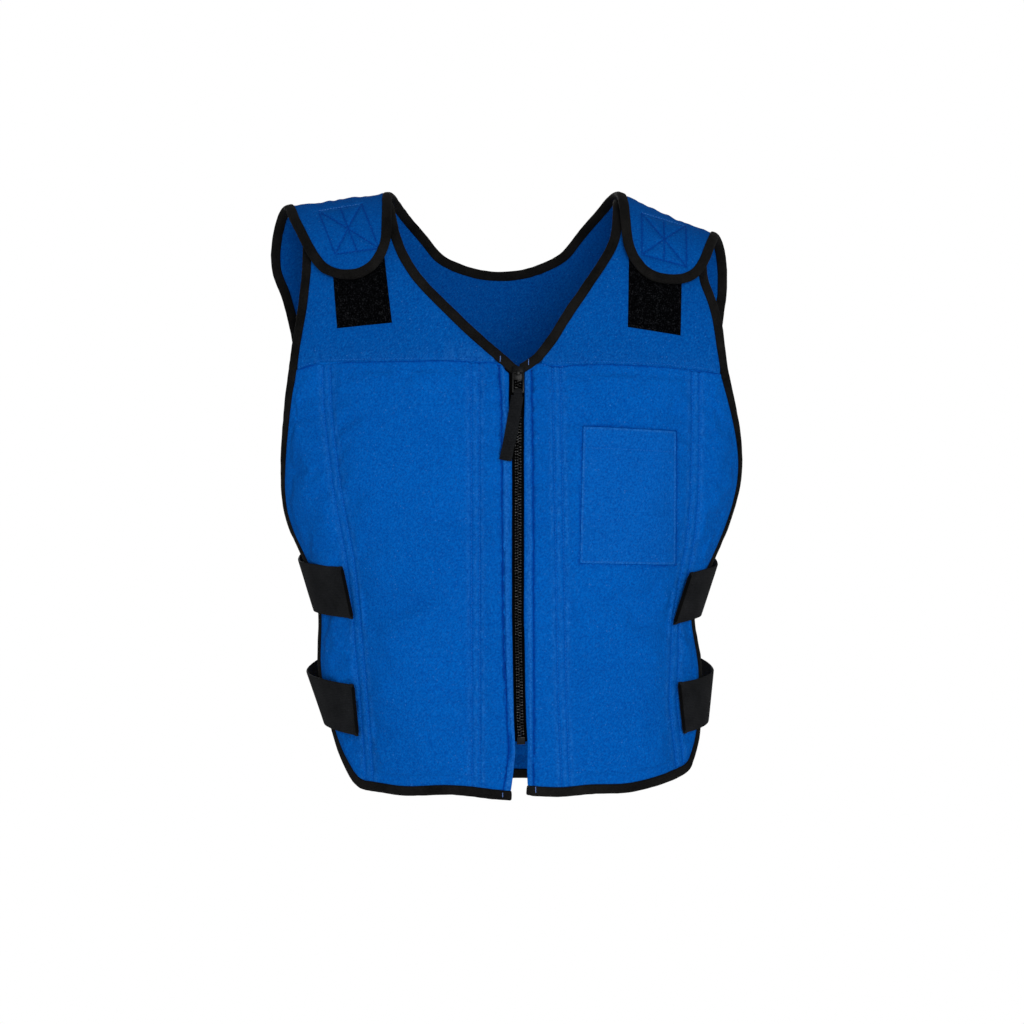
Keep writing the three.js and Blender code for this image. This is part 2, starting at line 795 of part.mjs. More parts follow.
// Hook straps round the open sides. turn goes in degrees from the middle of the front to that of the back.
function girdle(turn, height, sign) {
  const angle = THREE.MathUtils.degToRad(turn);
  const face = turn < 90 ? -1 : 1;
  const y = face * depth(height, face) * Math.abs(Math.cos(angle)) ** sectionPower;
  return new THREE.Vector3(sign * Math.sin(angle) * halfWidth(height, sign), y, height);
}
function strapEdge(sign, path, upperTurn, edgeSide) {
  const height = smooth(path, "turn", "up", upperTurn) * vestLength + edgeSide * strapWidth / 2;
  const turn = upperTurn + (edgeSide < 0 ? smooth(path, "turn", "skew", upperTurn) : 0);
  const along = girdle(turn + 1, height, sign).sub(girdle(turn - 1, height, sign));
  const away = new THREE.Vector3(sign * along.y, -sign * along.x, 0).normalize();
  const slack = smooth(path, "turn", edgeSide > 0 ? "slackTop" : "slackBottom", upperTurn) * strapWidth;
  const stand = overPanel + strapThickness / 2 + slack;
  return girdle(turn, height, sign).addScaledVector(away, stand);
}
for (const [name, { sign, path }] of Object.entries(straps)) {
  const turns = evenly(20).map((t) => path[0].turn + (path.at(-1).turn - path[0].turn) * t);
  const edges = turns.map((turn) => [1, -1].map((edgeSide) => strapEdge(sign, path, turn, edgeSide)));
  const rings = edges.map(([top, bottom], i) => {
    const before = edges[Math.max(i - 1, 0)];
    const after = edges[Math.min(i + 1, edges.length - 1)];
    const along = after[0].clone().add(after[1]).sub(before[0]).sub(before[1]);
    const half = along.cross(top.clone().sub(bottom)).setLength(strapThickness / 2);
    return [[top, 1], [top, -1], [bottom, -1], [bottom, 1]].map(([p, way]) =>
      p.clone().addScaledVector(half, way));
  });
  add(name, sweptSolid(rings, false), webbing);
}

// The zip: two tapes behind the front edges, and the two rows of teeth between the edges
const neckLow = Math.min(sides.right.neckPoint.up, sides.left.neckPoint.up) * vestLength;
const zipTop = neckLow - headHeight - layGap;
function zipStrip(from, to, inner, outer) {
  const [top, bottom] = [zipTop - sewnGap, -zipBottom];
  const corner = (x, up) => new THREE.Vector2(x, up);
  const grid = fill(
    line(corner(from, bottom), corner(to, bottom)),
    line(corner(from, top), corner(to, top)),
    line(corner(from, bottom), corner(from, top)),
    line(corner(to, bottom), corner(to, top)),
    evenly(2),
    16,
  );
  return clothSolid([grid], -1, () => inner, () => outer);
}
for (const [name, { sign }] of Object.entries(sides)) {
  const middle = sewnGap / 2;
  const tape = zipStrip(sign * middle, sign * tapeHalf, -sewnGap - tapeThickness, -sewnGap);
  add(`zip_tape_${name}`, tape, zipCloth);
  add(`zip_teeth_${name}`, zipStrip(sign * middle, sign * teethHalf, 0, teethThickness), zipMetal);
}

// Boolean solids for the slider and its puller
function solidOf(geometry) {
  geometry.deleteAttribute("normal");
  geometry.deleteAttribute("uv");
  const merged = mergeVertices(geometry);
  return new wasm.Manifold(new wasm.Mesh({
    numProp: 3,
    vertProperties: merged.getAttribute("position").array,
    triVerts: new Uint32Array(merged.getIndex().array),
  }));
}
function geometryOf(solid) {
  const mesh = solid.getMesh();
  const geometry = new THREE.BufferGeometry();
  geometry.setAttribute("position", new THREE.BufferAttribute(mesh.vertProperties, 3));
  geometry.setIndex(new THREE.BufferAttribute(mesh.triVerts, 1));
  return geometry;
}
// Box between two distances in each direction: across, out of the cloth, and up
function block([x0, x1], [out0, out1], [z0, z1]) {
  const geometry = new THREE.BoxGeometry(x1 - x0, out1 - out0, z1 - z0);
  return solidOf(geometry.translate((x0 + x1) / 2, -(out0 + out1) / 2, (z0 + z1) / 2));
}
function bar(radius, length, out, z, facets = 12) {
  const geometry = new THREE.CylinderGeometry(radius, radius, length, facets).rotateZ(Math.PI / 2);
  return solidOf(geometry.translate(0, -out, z));
}

// The slider sits at the top of the zip, tilted as the cloth is there; its puller hangs on the cloth.
const slider = new THREE.Group();
const sliderSeat = skin(0, zipTop, -1);
const hangsTo = skin(0, zipTop - pullerLength - tabLength, -1);
slider.position.copy(sliderSeat);
slider.rotation.x = Math.atan2(hangsTo.y - sliderSeat.y, sliderSeat.z - hangsTo.z);
vest.add(slider);

const plateOut = Math.max(panelThickness, teethThickness) + bindingProud + layGap;
const headLow = layGap;
const plateHalf = sliderWidth / 2;
const plateTop = plateOut + plateThickness;
const pinOut = plateTop + pinRadius + pinClearance + layGap / 2;
const pinDown = plateRise - sliderLength / 2;
const bridgeHigh = pinOut + pinRadius + pinClearance + plateThickness;
const behind = -sewnGap - tapeThickness - layGap;
const headHalf = zipGapHalf - 2 * layGap;
const sliderBody = block([-plateHalf, plateHalf], [plateOut, plateTop], [plateRise - sliderLength, plateRise])
  .add(block([-headHalf, headHalf], [behind - plateThickness, plateTop], [headLow, headHeight]))
  .add(block([-headHalf, headHalf], [behind - plateThickness, behind], [headHeight - sliderLength, headHeight]))
  .add(block([-bridgeWidth / 2, bridgeWidth / 2], [plateTop - 0.1, bridgeHigh],
    [pinDown - 2 * pinRadius - pinClearance, pinDown + 2 * pinRadius + pinClearance]))
  .subtract(bar(pinRadius + pinClearance, bridgeWidth * 2, pinOut, pinDown));
add("zip_slider", geometryOf(sliderBody), zipMetal, slider);

// The puller: a flat frame whose round top bar turns in the slider's bridge
const pullerHalf = pullerWidth / 2;
const frameLow = pinDown - pullerLength + pinRadius;
const window = [frameLow + pullerBar, pinDown - pinRadius];
const frameOut = [pinOut - pullerBar / 2, pinOut + pullerBar / 2];
const windowHalf = pullerHalf - pullerBar * 0.8;
const puller = block([-pullerHalf, pullerHalf], frameOut, [frameLow, pinDown])
  .subtract(block([-windowHalf, windowHalf], [frameOut[0] - 1, frameOut[1] + 1], [window[0], pinDown + 1]))
  .add(bar(pinRadius, pullerWidth, pinOut, pinDown));
add("zip_puller", geometryOf(puller), zipMetal, slider);

// The cloth tab: looped round the puller's crossbar, then leaning down over the front
const crossbar = frameLow + pullerBar / 2;
const loopHalf = windowHalf - layGap;
const loopRadius = pullerBar * 0.75 + sewnGap + tabThickness / 2;
const tongue = block([-tabWidth / 2, tabWidth / 2], [-tabThickness / 2, tabThickness / 2],
  [-tabLength, -loopRadius - tabThickness / 2]);
const stemLow = -loopRadius - tabThickness;
const tab = bar(loopRadius, loopHalf * 2, 0, 0)
  .add(block([-loopHalf, loopHalf], [-tabThickness / 2, tabThickness / 2], [stemLow, 0]))
  .add(tongue.rotate([0, tabLean, 0]))
  .subtract(bar(pullerBar * 0.75 + sewnGap / 2, pullerWidth, 0, 0));
const tabMesh = add("pull_tab", geometryOf(tab), webbing, slider);
tabMesh.position.set(0, -pinOut, crossbar);

export default vest;
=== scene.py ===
# %% [markdown]
# # A cooling vest, piece by piece
# The vest is padded blue twill with sewn channels, bound in black tape, closed by a front zip, two
# shoulder flaps and four elastic straps. The solids give every piece its place and size. Here each one
# is made again as cloth: rounded, filled between its seams, stitched, and given its weave.
# Everything is in metres, with the front towards -Y.

# %% The frame that the pieces hang on
import math
import random

import bmesh
import bpy
from mathutils import Matrix, Vector, noise
from mathutils.bvhtree import BVHTree


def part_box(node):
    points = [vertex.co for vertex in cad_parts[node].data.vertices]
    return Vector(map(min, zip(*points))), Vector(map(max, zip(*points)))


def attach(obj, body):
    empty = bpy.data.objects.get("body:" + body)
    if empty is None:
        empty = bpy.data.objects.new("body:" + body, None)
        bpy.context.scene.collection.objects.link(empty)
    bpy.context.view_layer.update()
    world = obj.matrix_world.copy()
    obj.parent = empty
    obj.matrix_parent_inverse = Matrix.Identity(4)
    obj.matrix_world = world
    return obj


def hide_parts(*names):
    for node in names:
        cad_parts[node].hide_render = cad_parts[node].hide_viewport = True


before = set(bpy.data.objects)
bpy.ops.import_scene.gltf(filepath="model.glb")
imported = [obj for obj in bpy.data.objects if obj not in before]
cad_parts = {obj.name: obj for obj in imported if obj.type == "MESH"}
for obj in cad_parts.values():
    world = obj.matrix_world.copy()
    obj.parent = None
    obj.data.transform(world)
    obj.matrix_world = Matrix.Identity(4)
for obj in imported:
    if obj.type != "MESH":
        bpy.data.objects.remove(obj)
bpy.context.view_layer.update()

mm = 0.001

# %% [markdown]
# ## The camera
# The photograph was taken from straight in front, about three metres away, level with the middle of
# the vest. A camera that far off with a long lens gives the same flat perspective, so the armholes and
# the straps overlap as they do in the picture. It could be moved closer with a wider lens, but then
# the sides of the vest would turn away too much.

# %% Camera
cameraAt = (-6, -3125, -325)  # millimetres, level with the middle of the vest
lens = 105.47  # makes one pixel a millimetre, three metres away
camera_data = bpy.data.cameras.new("camera")
camera_data.lens = lens
camera_data.sensor_width = 36
camera_data.clip_end = 30
camera = bpy.data.objects.new("camera", camera_data)
camera.location = [v * mm for v in cameraAt]
camera.rotation_euler = (math.radians(90), 0, 0)
bpy.context.collection.objects.link(camera)
bpy.context.scene.camera = camera
print("camera at", tuple(round(v, 3) for v in camera.location))

# %% [markdown]
# ## Helpers for finishes
# Every finish is a small graph of nodes that ends in one Principled shader. A helper adds a node and
# joins its inputs in one line, so that each finish below reads like a recipe. Values that are the same
# all over a surface go straight onto the shader.

# %% Node helpers
def finish(name, roughness, **sockets):
    """A new material and its node tree. Socket names use _ for a space."""
    made = bpy.data.materials.new(name)
    made.use_nodes = True
    shader = made.node_tree.nodes["Principled BSDF"]
    shader.inputs["Roughness"].default_value = roughness
    for socket, value in sockets.items():
        shader.inputs[socket.replace("_", " ")].default_value = value
    return made, made.node_tree, shader


def add(tree, kind, inputs, **settings):
    """A new node. Its inputs are plain values or the outputs of other nodes."""
    made = tree.nodes.new("ShaderNode" + kind)
    for key, value in settings.items():
        setattr(made, key, value)
    for socket, value in inputs.items():
        if isinstance(value, bpy.types.NodeSocket):
            tree.links.new(value, made.inputs[socket])
        else:
            made.inputs[socket].default_value = value
    return made


def place(tree, stretch=(1, 1, 1), turn=(0, 0, 0)):
    """The point on the surface in metres, stretched and then turned."""
    spot = add(tree, "TexCoord", {}).outputs["Object"]
    return add(tree, "Mapping", {"Vector": spot, "Scale": stretch, "Rotation": turn}).outputs["Vector"]


def speckle(tree, spot, scale, detail=2.0, rough=0.5):
    """Cloudy noise, 0 to 1."""
    inputs = {"Vector": spot, "Scale": scale, "Detail": detail, "Roughness": rough}
    return add(tree, "TexNoise", inputs).outputs["Fac"]


def waves(tree, spot, scale, distortion, detail=2.0, way="X"):
    """Soft stripes, 0 to 1, that follow one another along way."""
    inputs = {"Vector": spot, "Scale": scale, "Distortion": distortion, "Detail": detail}
    return add(tree, "TexWave", inputs, bands_direction=way).outputs["Fac"]


def ramp(tree, value, stops):
    """Colours along a value. Stops are pairs of a place and a grey or a colour in linear light."""
    made = add(tree, "ValToRGB", {"Fac": value})
    elements = made.color_ramp.elements
    while len(elements) < len(stops):
        elements.new(0.5)
    for element, (at, colour) in zip(elements, stops):
        element.position = at
        element.color = (*(colour if isinstance(colour, tuple) else [colour] * 3), 1)
    return made.outputs["Color"]


def mix(tree, share, first, second, blend="MIX"):
    made = add(tree, "MixRGB", {"Fac": share, "Color1": first, "Color2": second}, blend_type=blend)
    return made.outputs["Color"]


def drive(tree, shader, **sockets):
    """Joins outputs to sockets of the shader. Socket names use _ for a space."""
    for socket, value in sockets.items():
        tree.links.new(value, shader.inputs[socket.replace("_", " ")])


def raise_surface(tree, shader, height, strength, distance, below=None):
    inputs = {"Height": height, "Strength": strength, "Distance": distance}
    if below is not None:
        inputs["Normal"] = below
    bump = add(tree, "Bump", inputs).outputs["Normal"]
    drive(tree, shader, Normal=bump)
    return bump


def linear(red, green, blue):
    """Linear light for a colour that is read off a screen, 0 to 255."""
    return tuple((v / 255) ** 2.2 for v in (red, green, blue))


def screen(*colour):
    """The same, as a value for a colour socket."""
    return (*linear(*colour), 1)


print("a helper for each kind of node")

# %% [markdown]
# ## The blue twill
# The cloth is a brushed cotton twill: fine diagonal ribs about a millimetre apart, a soft nap that
# catches the light, and specks of pale lint. An image of cloth could be laid on it, but woven
# detail made from waves and noise stays sharp at any size and needs no unwrapping. Two waves crossed
# give the twill, and three sizes of noise give the nap and the uneven dye. The brushed nap scatters
# light, so the cloth has next to no gloss.
# A number kept on every point of the mesh darkens the cloth along the seams and their grooves, mostly as
# painted shade and partly as cloth the seam presses darker, and pales it where the ridge beside a seam is
# rubbed.

# %% Twill
ribScale = 310


def twill_finish(name, shade, lint):
    made, tree, shader = finish(name, 0.85, Specular_IOR_Level=0.02)
    spot = place(tree)
    nap = speckle(tree, spot, 520, 4, 0.75)
    cloud = speckle(tree, spot, 11, 3, 0.55)
    deep, middle, pale = (linear(*(v * shade for v in colour)) for colour in (
        (0, 70, 155), (0, 89, 179), (12, 109, 203)))
    dyed = ramp(tree, nap, [(0.3, deep), (0.5, middle), (0.72, pale)])
    leaning = place(tree, turn=(0, math.radians(-42), 0))
    drawn = add(tree, "Mapping", {"Vector": leaning, "Scale": (1, 1, 0.3)}).outputs["Vector"]
    strokes = ramp(tree, speckle(tree, drawn, 800, 3, 0.6), [(0.52, 0), (0.7, 0.22)])
    dyed = mix(tree, strokes, dyed, screen(50, 128, 214))
    washed = ramp(tree, cloud, [(0.3, (0.86, 0.88, 0.9)), (0.7, 1)])
    cloth = mix(tree, 0.8, dyed, washed, "MULTIPLY")
    specks = add(tree, "TexVoronoi", {"Vector": spot, "Scale": 210, "Randomness": 1.0})
    dots = ramp(tree, specks.outputs["Distance"], [(0.04, 1), (0.17, 0)])
    scatter = ramp(tree, speckle(tree, spot, 70, 2), [(0.46, 0), (0.6, 1)])
    lit = mix(tree, lint, (0, 0, 0, 1), mix(tree, 1.0, dots, scatter, "MULTIPLY"))
    shade_and_wear = add(tree, "Attribute", {}, attribute_name="shade_and_wear").outputs["Fac"]
    # Painted shade: where the kept number is below zero the cloth is darkened, in the seams' grooves and
    # along edges.
    painted_crease_shade = ramp(tree, add(tree, "Math", {0: shade_and_wear, 1: -1.0}, operation="MULTIPLY").outputs[0],
                   [(0.0, 1), (1.0, (0.3, 0.42, 0.66))])
    ridge = ramp(tree, shade_and_wear, [(0.0, 0), (1.0, 0.34)])
    fuzzy = ramp(tree, nap, [(0.38, 0.15), (0.6, 1)])
    rubbed = mix(tree, 1.0, ridge, fuzzy, "MULTIPLY")
    shaded = mix(tree, 1.0, mix(tree, rubbed, cloth, screen(70, 140, 214)), painted_crease_shade, "MULTIPLY")
    drive(tree, shader, Base_Color=mix(tree, lit, shaded, screen(96, 156, 222)),
          Roughness=ramp(tree, nap, [(0.3, 0.78), (0.7, 0.92)]))
    diagonal = place(tree, turn=(0, math.radians(-38), 0))
    weave = mix(tree, 0.35, waves(tree, diagonal, ribScale, 1.2), waves(tree, diagonal, 420, 0.8, 1.0, "Z"))
    woven = raise_surface(tree, shader, weave, 0.35, 0.35 * mm)
    raise_surface(tree, shader, speckle(tree, spot, 900, 3, 0.7), 0.35, 0.5 * mm, woven)
    return made


twill = twill_finish("blue twill", 1.02, 0.3)
# A darker copy of the twill for the yokes and flaps is painted shade: their upward-facing cloth takes less
# light.
shaded_shoulder_twill = twill_finish("blue twill of the shoulders", 0.93, 0.3)
print("twill ribs per 10 mm:", round(ribScale * 10 * mm * 20 / (2 * math.pi), 1))

# %% [markdown]
# ## Black cloth, three kinds
# The edge tape is a soft folded twill tape, the straps are elastic webbing with ribs across them, and
# the loop patches are a pile of tiny loops that swallows light. One recipe serves for tape and webbing,
# with the size and direction of the ribs changed, and the pile gets a rounder, deeper noise.

# %% Black cloth
def ribbed_finish(name, dark, pale, ribs, turn, sheen, nap=0.35):
    made, tree, shader = finish(name, 0.8, Sheen_Weight=sheen, Sheen_Roughness=0.5, Specular_IOR_Level=0.035)
    spot = place(tree)
    grain = speckle(tree, spot, 700, 3, 0.7)
    cloud = speckle(tree, spot, 30, 3, 0.6)
    dusty = ramp(tree, mix(tree, 0.5, grain, cloud), [(0.35, linear(*dark)), (0.68, linear(*pale))])
    turned = place(tree, turn=turn)
    across = waves(tree, turned, ribs, 0.6, way="Z")
    along = waves(tree, turned, ribs * 1.7, 0.8)
    drive(tree, shader, Base_Color=mix(tree, 0.25, dusty, across, "MULTIPLY"),
          Roughness=ramp(tree, grain, [(0.3, 0.7), (0.7, 0.9)]))
    woven = raise_surface(tree, shader, mix(tree, 0.3, across, along), 0.5, 0.3 * mm)
    raise_surface(tree, shader, grain, nap, 0.4 * mm, woven)
    return made


def pile_finish():
    made, tree, shader = finish("loop pile", 0.95, Sheen_Weight=0.01, Specular_IOR_Level=0.01)
    spot = place(tree)
    loops = add(tree, "TexVoronoi", {"Vector": spot, "Scale": 900, "Randomness": 1.0})
    tuft = speckle(tree, spot, 260, 4, 0.7)
    fuzz = mix(tree, 0.5, loops.outputs["Distance"], tuft)
    drive(tree, shader, Base_Color=ramp(tree, fuzz, [
        (0.36, linear(3, 4, 6)), (0.56, linear(12, 13, 15)), (0.72, linear(36, 37, 39))]))
    raise_surface(tree, shader, fuzz, 0.9, 0.9 * mm)
    return made


binding_tape = ribbed_finish("binding tape", (17, 17, 17), (39, 38, 37), 260, (0, 0.6, 0), 0.01)
webbing = ribbed_finish("elastic webbing", (23, 24, 26), (44, 45, 47), 190, (0, 0, 0), 0.005)
zip_cloth = ribbed_finish("zip tape", (6, 6, 7), (16, 16, 17), 300, (0, 0.4, 0), 0.005)
loop_pile = pile_finish()
print("black cloths:", binding_tape.name, webbing.name, zip_cloth.name, loop_pile.name)

# %% [markdown]
# ## Thread, teeth and the painted slider
# Thread is a twisted strand, so it gets fine slanting ribs. The zip's teeth are moulded plastic, smooth
# enough to glint. The slider is painted metal, and its paint has rubbed off a little along the edges,
# where the metal shows; the Pointiness output finds those edges without any drawing.

# %% Thread, plastic and painted metal
def thread_finish(name, dark, pale):
    made, tree, shader = finish(name, 0.7, Specular_IOR_Level=0.08)
    twist = waves(tree, place(tree, turn=(0.5, 0.6, 0)), 700, 1.0, way="DIAGONAL")
    patchy = mix(tree, 0.5, twist, speckle(tree, place(tree), 90, 3))
    drive(tree, shader, Base_Color=ramp(tree, patchy, [(0.3, linear(*dark)), (0.7, linear(*pale))]))
    raise_surface(tree, shader, twist, 0.4, 0.15 * mm)
    return made


def teeth_finish():
    made, tree, shader = finish("moulded teeth", 0.25, Specular_IOR_Level=0.26)
    wear = speckle(tree, place(tree), 500, 4, 0.65)
    drive(tree, shader, Base_Color=ramp(tree, wear, [(0.35, linear(1, 1, 1)), (0.75, linear(7, 7, 7))]),
          Roughness=ramp(tree, wear, [(0.3, 0.16), (0.8, 0.36)]))
    raise_surface(tree, shader, wear, 0.15, 0.1 * mm)
    return made


def painted_finish():
    made, tree, shader = finish("painted slider", 0.45, Specular_IOR_Level=0.12, Coat_Weight=0.02,
                                Coat_Roughness=0.2)
    edges = add(tree, "NewGeometry", {}).outputs["Pointiness"]
    scuff = speckle(tree, place(tree), 600, 5, 0.7)
    surface_mark = mix(tree, 1.0, ramp(tree, edges, [(0.66, 0), (0.84, 0.4)]),
               ramp(tree, scuff, [(0.48, 0), (0.62, 1)]), "MULTIPLY")
    paint = ramp(tree, scuff, [(0.3, linear(8, 8, 9)), (0.8, linear(19, 19, 20))])
    drive(tree, shader, Base_Color=mix(tree, surface_mark, paint, screen(80, 80, 83)), Metallic=surface_mark,
          Roughness=ramp(tree, scuff, [(0.3, 0.26), (0.8, 0.48)]))
    raise_surface(tree, shader, scuff, 0.12, 0.08 * mm)
    return made


blue_thread = thread_finish("blue thread", (6, 88, 182), (38, 114, 200))
deep_thread = thread_finish("deep blue thread", (0, 50, 136), (4, 68, 158))
teeth_plastic = teeth_finish()
painted_metal = painted_finish()
print("finishes:", len(bpy.data.materials))

# %% [markdown]
# ## From a solid to cloth
# Each solid is a coarse cage. Its triangles are joined back to four-sided faces, its edges are
# bevelled so that the cloth folds over them, and a subdivision surface rounds it. A voxel remesh would
# also make it smooth, but it would lose the thin edges, and four-sided faces follow the cloth's own run.

# %% Helpers for pieces
def cage_of(node):
    """A solid's surface as a mesh of four-sided faces."""
    cage = bmesh.new()
    cage.from_mesh(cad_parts[node].data)
    bmesh.ops.remove_doubles(cage, verts=cage.verts, dist=1e-6)
    bmesh.ops.join_triangles(cage, faces=cage.faces, angle_face_threshold=math.radians(60),
                             angle_shape_threshold=math.radians(180))
    return cage


def new_piece(name, made, material, body="vest"):
    """An object from a finished bmesh, smooth shaded, that rides on a body."""
    mesh = bpy.data.meshes.new(name)
    made.to_mesh(mesh)
    made.free()
    piece = bpy.data.objects.new(name, mesh)
    bpy.context.collection.objects.link(piece)
    mesh.materials.append(material)
    mesh.polygons.foreach_set("use_smooth", [True] * len(mesh.polygons))
    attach(piece, body)
    return piece


def bake(piece):
    """Applies the modifiers of a piece to its mesh."""
    seen = piece.evaluated_get(bpy.context.evaluated_depsgraph_get())
    mesh = bpy.data.meshes.new_from_object(seen)
    piece.modifiers.clear()
    piece.data = mesh


def soften(cage, width, sharp=50):
    """Bevels the edges that turn by more than sharp degrees, and marks their points as the rim."""
    edges = [e for e in cage.edges if e.is_manifold and e.calc_face_angle() > math.radians(sharp)]
    rim = cage.verts.layers.float.new("rim")
    bevelled = bmesh.ops.bevel(cage, geom=edges, offset=width, offset_type="OFFSET", segments=2,
                               profile=0.5, affect="EDGES", clamp_overlap=True)
    for vertex in bevelled["verts"]:
        vertex[rim] = 1.0


def rounded(name, node, material, bevel, levels, body="vest"):
    cage = cage_of(node)
    soften(cage, bevel)
    piece = new_piece(name, cage, material, body)
    piece.modifiers.new("round", "SUBSURF").levels = levels
    bake(piece)
    return piece


def stand_for(node):
    """Hides a solid, so that the piece made for it shows instead."""
    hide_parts(node)


def push(piece, shift):
    """Moves every point of a piece by shift(point, normal)."""
    mesh = piece.data
    moved = [v.co + shift(v.co, v.normal) for v in mesh.vertices]
    mesh.vertices.foreach_set("co", [c for point in moved for c in point])
    mesh.update()


def shade(piece, shade_and_wear):
    """Keeps a value from the given function of point and normal on every point: below zero is painted shade,
    above is rubbed pale.
    """
    kept = piece.data.attributes.new("shade_and_wear", "FLOAT", "POINT")
    kept.data.foreach_set("value", [shade_and_wear(v.co, v.normal) for v in piece.data.vertices])


def fill_with_air(piece, sewn, cap):
    """Blows a closed piece up, held at its rim and where sewn(point) is true. A longer move is cut to cap."""
    start = [v.co.copy() for v in piece.data.vertices]
    rim = [kept.value for kept in piece.data.attributes["rim"].data]
    held = piece.vertex_groups.new(name="sewn")
    held.add([i for i, co in enumerate(start) if rim[i] > 0.5 or sewn(co)], 1.0, "REPLACE")
    cloth = piece.modifiers.new("filling", "CLOTH")
    values = dict(quality=4, mass=0.3, tension_stiffness=14, compression_stiffness=14, shear_stiffness=8,
                  bending_stiffness=0.6, use_pressure=True, uniform_pressure_force=4, shrink_min=-0.03,
                  vertex_group_mass=held.name)
    for key, value in values.items():
        setattr(cloth.settings, key, value)
    cloth.settings.effector_weights.gravity = 0
    cloth.collision_settings.use_collision = False
    for step in range(1, 21):
        bpy.context.scene.frame_set(step)
    seen = piece.evaluated_get(bpy.context.evaluated_depsgraph_get())
    blown = [v.co.copy() for v in seen.data.vertices]
    piece.modifiers.clear()
    piece.vertex_groups.clear()
    bpy.context.scene.frame_set(1)
    most = 0
    for vertex, old, new in zip(piece.data.vertices, start, blown):
        move = new - old
        most = max(most, move.length)
        if move.length > cap:
            move *= cap / move.length
        vertex.co = old + move
    piece.data.update()
    print(piece.name, "filled: up to", round(most / mm, 1), "mm, of which", round(cap / mm, 1), "mm are kept")


def wobble(x, y, z):
    """Smooth noise at a place."""
    return noise.noise(Vector((x, y, z)))


def smoothstep(low, high, value):
    t = min(max((value - low) / (high - low), 0), 1)
    return t * t * (3 - 2 * t)


def ring(middle, first, second, sides):
    """Points round a middle, on the ellipse that has two given arms."""
    turns = [2 * math.pi * i / sides for i in range(sides)]
    return [middle + first * math.cos(turn) + second * math.sin(turn) for turn in turns]


def triangles(piece):
    return sum(len(p.vertices) - 2 for p in piece.data.polygons)


def report(*pieces):
    for piece in pieces:
        print(piece.name, triangles(piece), "triangles")


print("largest solid:", max(len(o.data.polygons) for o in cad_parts.values()), "triangles")

# %% [markdown]
# ## Where the seams run
# The lower panels are sewn through in vertical channels that hold the cooling packs. Each channel is
# two rows of stitches eight millimetres apart. The rows are measured on the front as x against z, in
# millimetres, and a curve through them says how far any point of the cloth is from its nearest seam.

# %% Seam lines
def rows(columns, values):
    return [dict(zip(columns, row)) for row in values]


def follow(table, at, known="z", wanted="x"):
    """The wanted column at a place along the known one, straight between rows."""
    first, last = table[0], table[-1]
    if at <= first[known]:
        return first[wanted]
    for low, high in zip(table, table[1:]):
        if at <= high[known]:
            share = (at - low[known]) / (high[known] - low[known])
            return low[wanted] + share * (high[wanted] - low[wanted])
    return last[wanted]


line = ("x", "z")
channels = {
    "right": [
        rows(line, [(-151, -598), (-158, -499), (-162, -456), (-170, -374), (-185, -290), (-193, -219),
                    (-194, -174)]),
        rows(line, [(-42, -600), (-43, -174)]),
    ],
    "left": [
        rows(line, [(166, -584), (158, -517), (161, -438), (174, -364), (179, -316), (180, -243),
                    (180, -182)]),
        rows(line, [(48, -600), (44, -500), (38.4, -177)]),
    ],
    "back": [rows(line, [(x, -606), (x, -174)]) for x in (-120, -41, 36, 110)],
}
plackets = {
    "right": rows(line, [(-14.7, -604), (-12.9, -593), (-11, -581), (-9.4, -565), (-9.6, -553), (-11.3, -530),
                         (-12, -503), (-13.5, -483), (-15, -433), (-15.5, -353), (-16.5, -220),
                         (-19, -176)]),
    "left": rows(line, [(15.6, -600), (16, -500), (15, -300), (13.2, -176)]),
}
seams = {
    "right": rows(line, [(-223, -181), (-199, -174.5), (-132, -174), (-72, -173.5), (-19, -175.7)]),
    "left": rows(line, [(22, -175.7), (38, -178.8), (84, -177), (144, -179), (182, -182), (204, -185)]),
    "back": rows(line, [(-224, -185), (-120, -177.5), (0, -176.3), (120, -177.5), (205, -185)]),
}
zipLean = {  # how far the zip and the edges beside it lean towards the wearer's left
    "right": rows(line, [(-0.7, -603), (2.1, -581), (3.5, -565), (3, -553), (2, -533), (1, -483), (0, -433)]),
    "left": rows(line, [(3.5, -603), (3, -581), (3.3, -553), (2, -533), (1, -483), (0, -433)]),
}
outward = {"right": -1, "left": -1, "back": 1}  # which way along y a panel faces
rowGap = 8  # between the two rows of a channel
pocketCorners = [(61.4, -376.4), (160, -378.8), (159.4, -243.2), (64.8, -239)]


def from_segment(x, z, start, end):
    """Distance in the plane of x and z from a point to a straight line."""
    run = (end[0] - start[0], end[1] - start[1])
    share = ((x - start[0]) * run[0] + (z - start[1]) * run[1]) / (run[0] ** 2 + run[1] ** 2)
    share = min(max(share, 0), 1)
    return math.hypot(x - start[0] - share * run[0], z - start[1] - share * run[1])


def side_at(x):
    return "right" if x < 0 else "left"


def from_seam(side, x, z):
    return abs(z - follow(seams[side], x, "x", "z"))


def from_channels(side, x, z):
    """Distance to the middle of each channel."""
    return [abs(x - follow(table, z)) for table in channels[side]]


def from_placket(side, x, z):
    """Distance to the row of stitches along the zip, and whether the point is between it and the zip."""
    if side == "back":
        return math.inf, False
    row = follow(plackets[side], z)
    return abs(x - row), abs(x) < abs(row)


def from_pocket_edge(x, z):
    return min(from_segment(x, z, a, b) for a, b in zip(pocketCorners, pocketCorners[1:] + pocketCorners[:1]))


print("channels:", {side: len(lines) for side, lines in channels.items()})

# %% [markdown]
# ## How the cloth moves
# Two things bend the cloth away from the smooth solid. A slow drift makes the whole vest hang in
# soft folds, and every layer takes the same drift, so that nothing comes apart; it dies out near the
# zip, which is stiff. On top of it comes the relief of one panel: low along the channels, sunk under each
# row of stitches, and gathered in small puckers beside them, because the thread is tighter than the cloth.

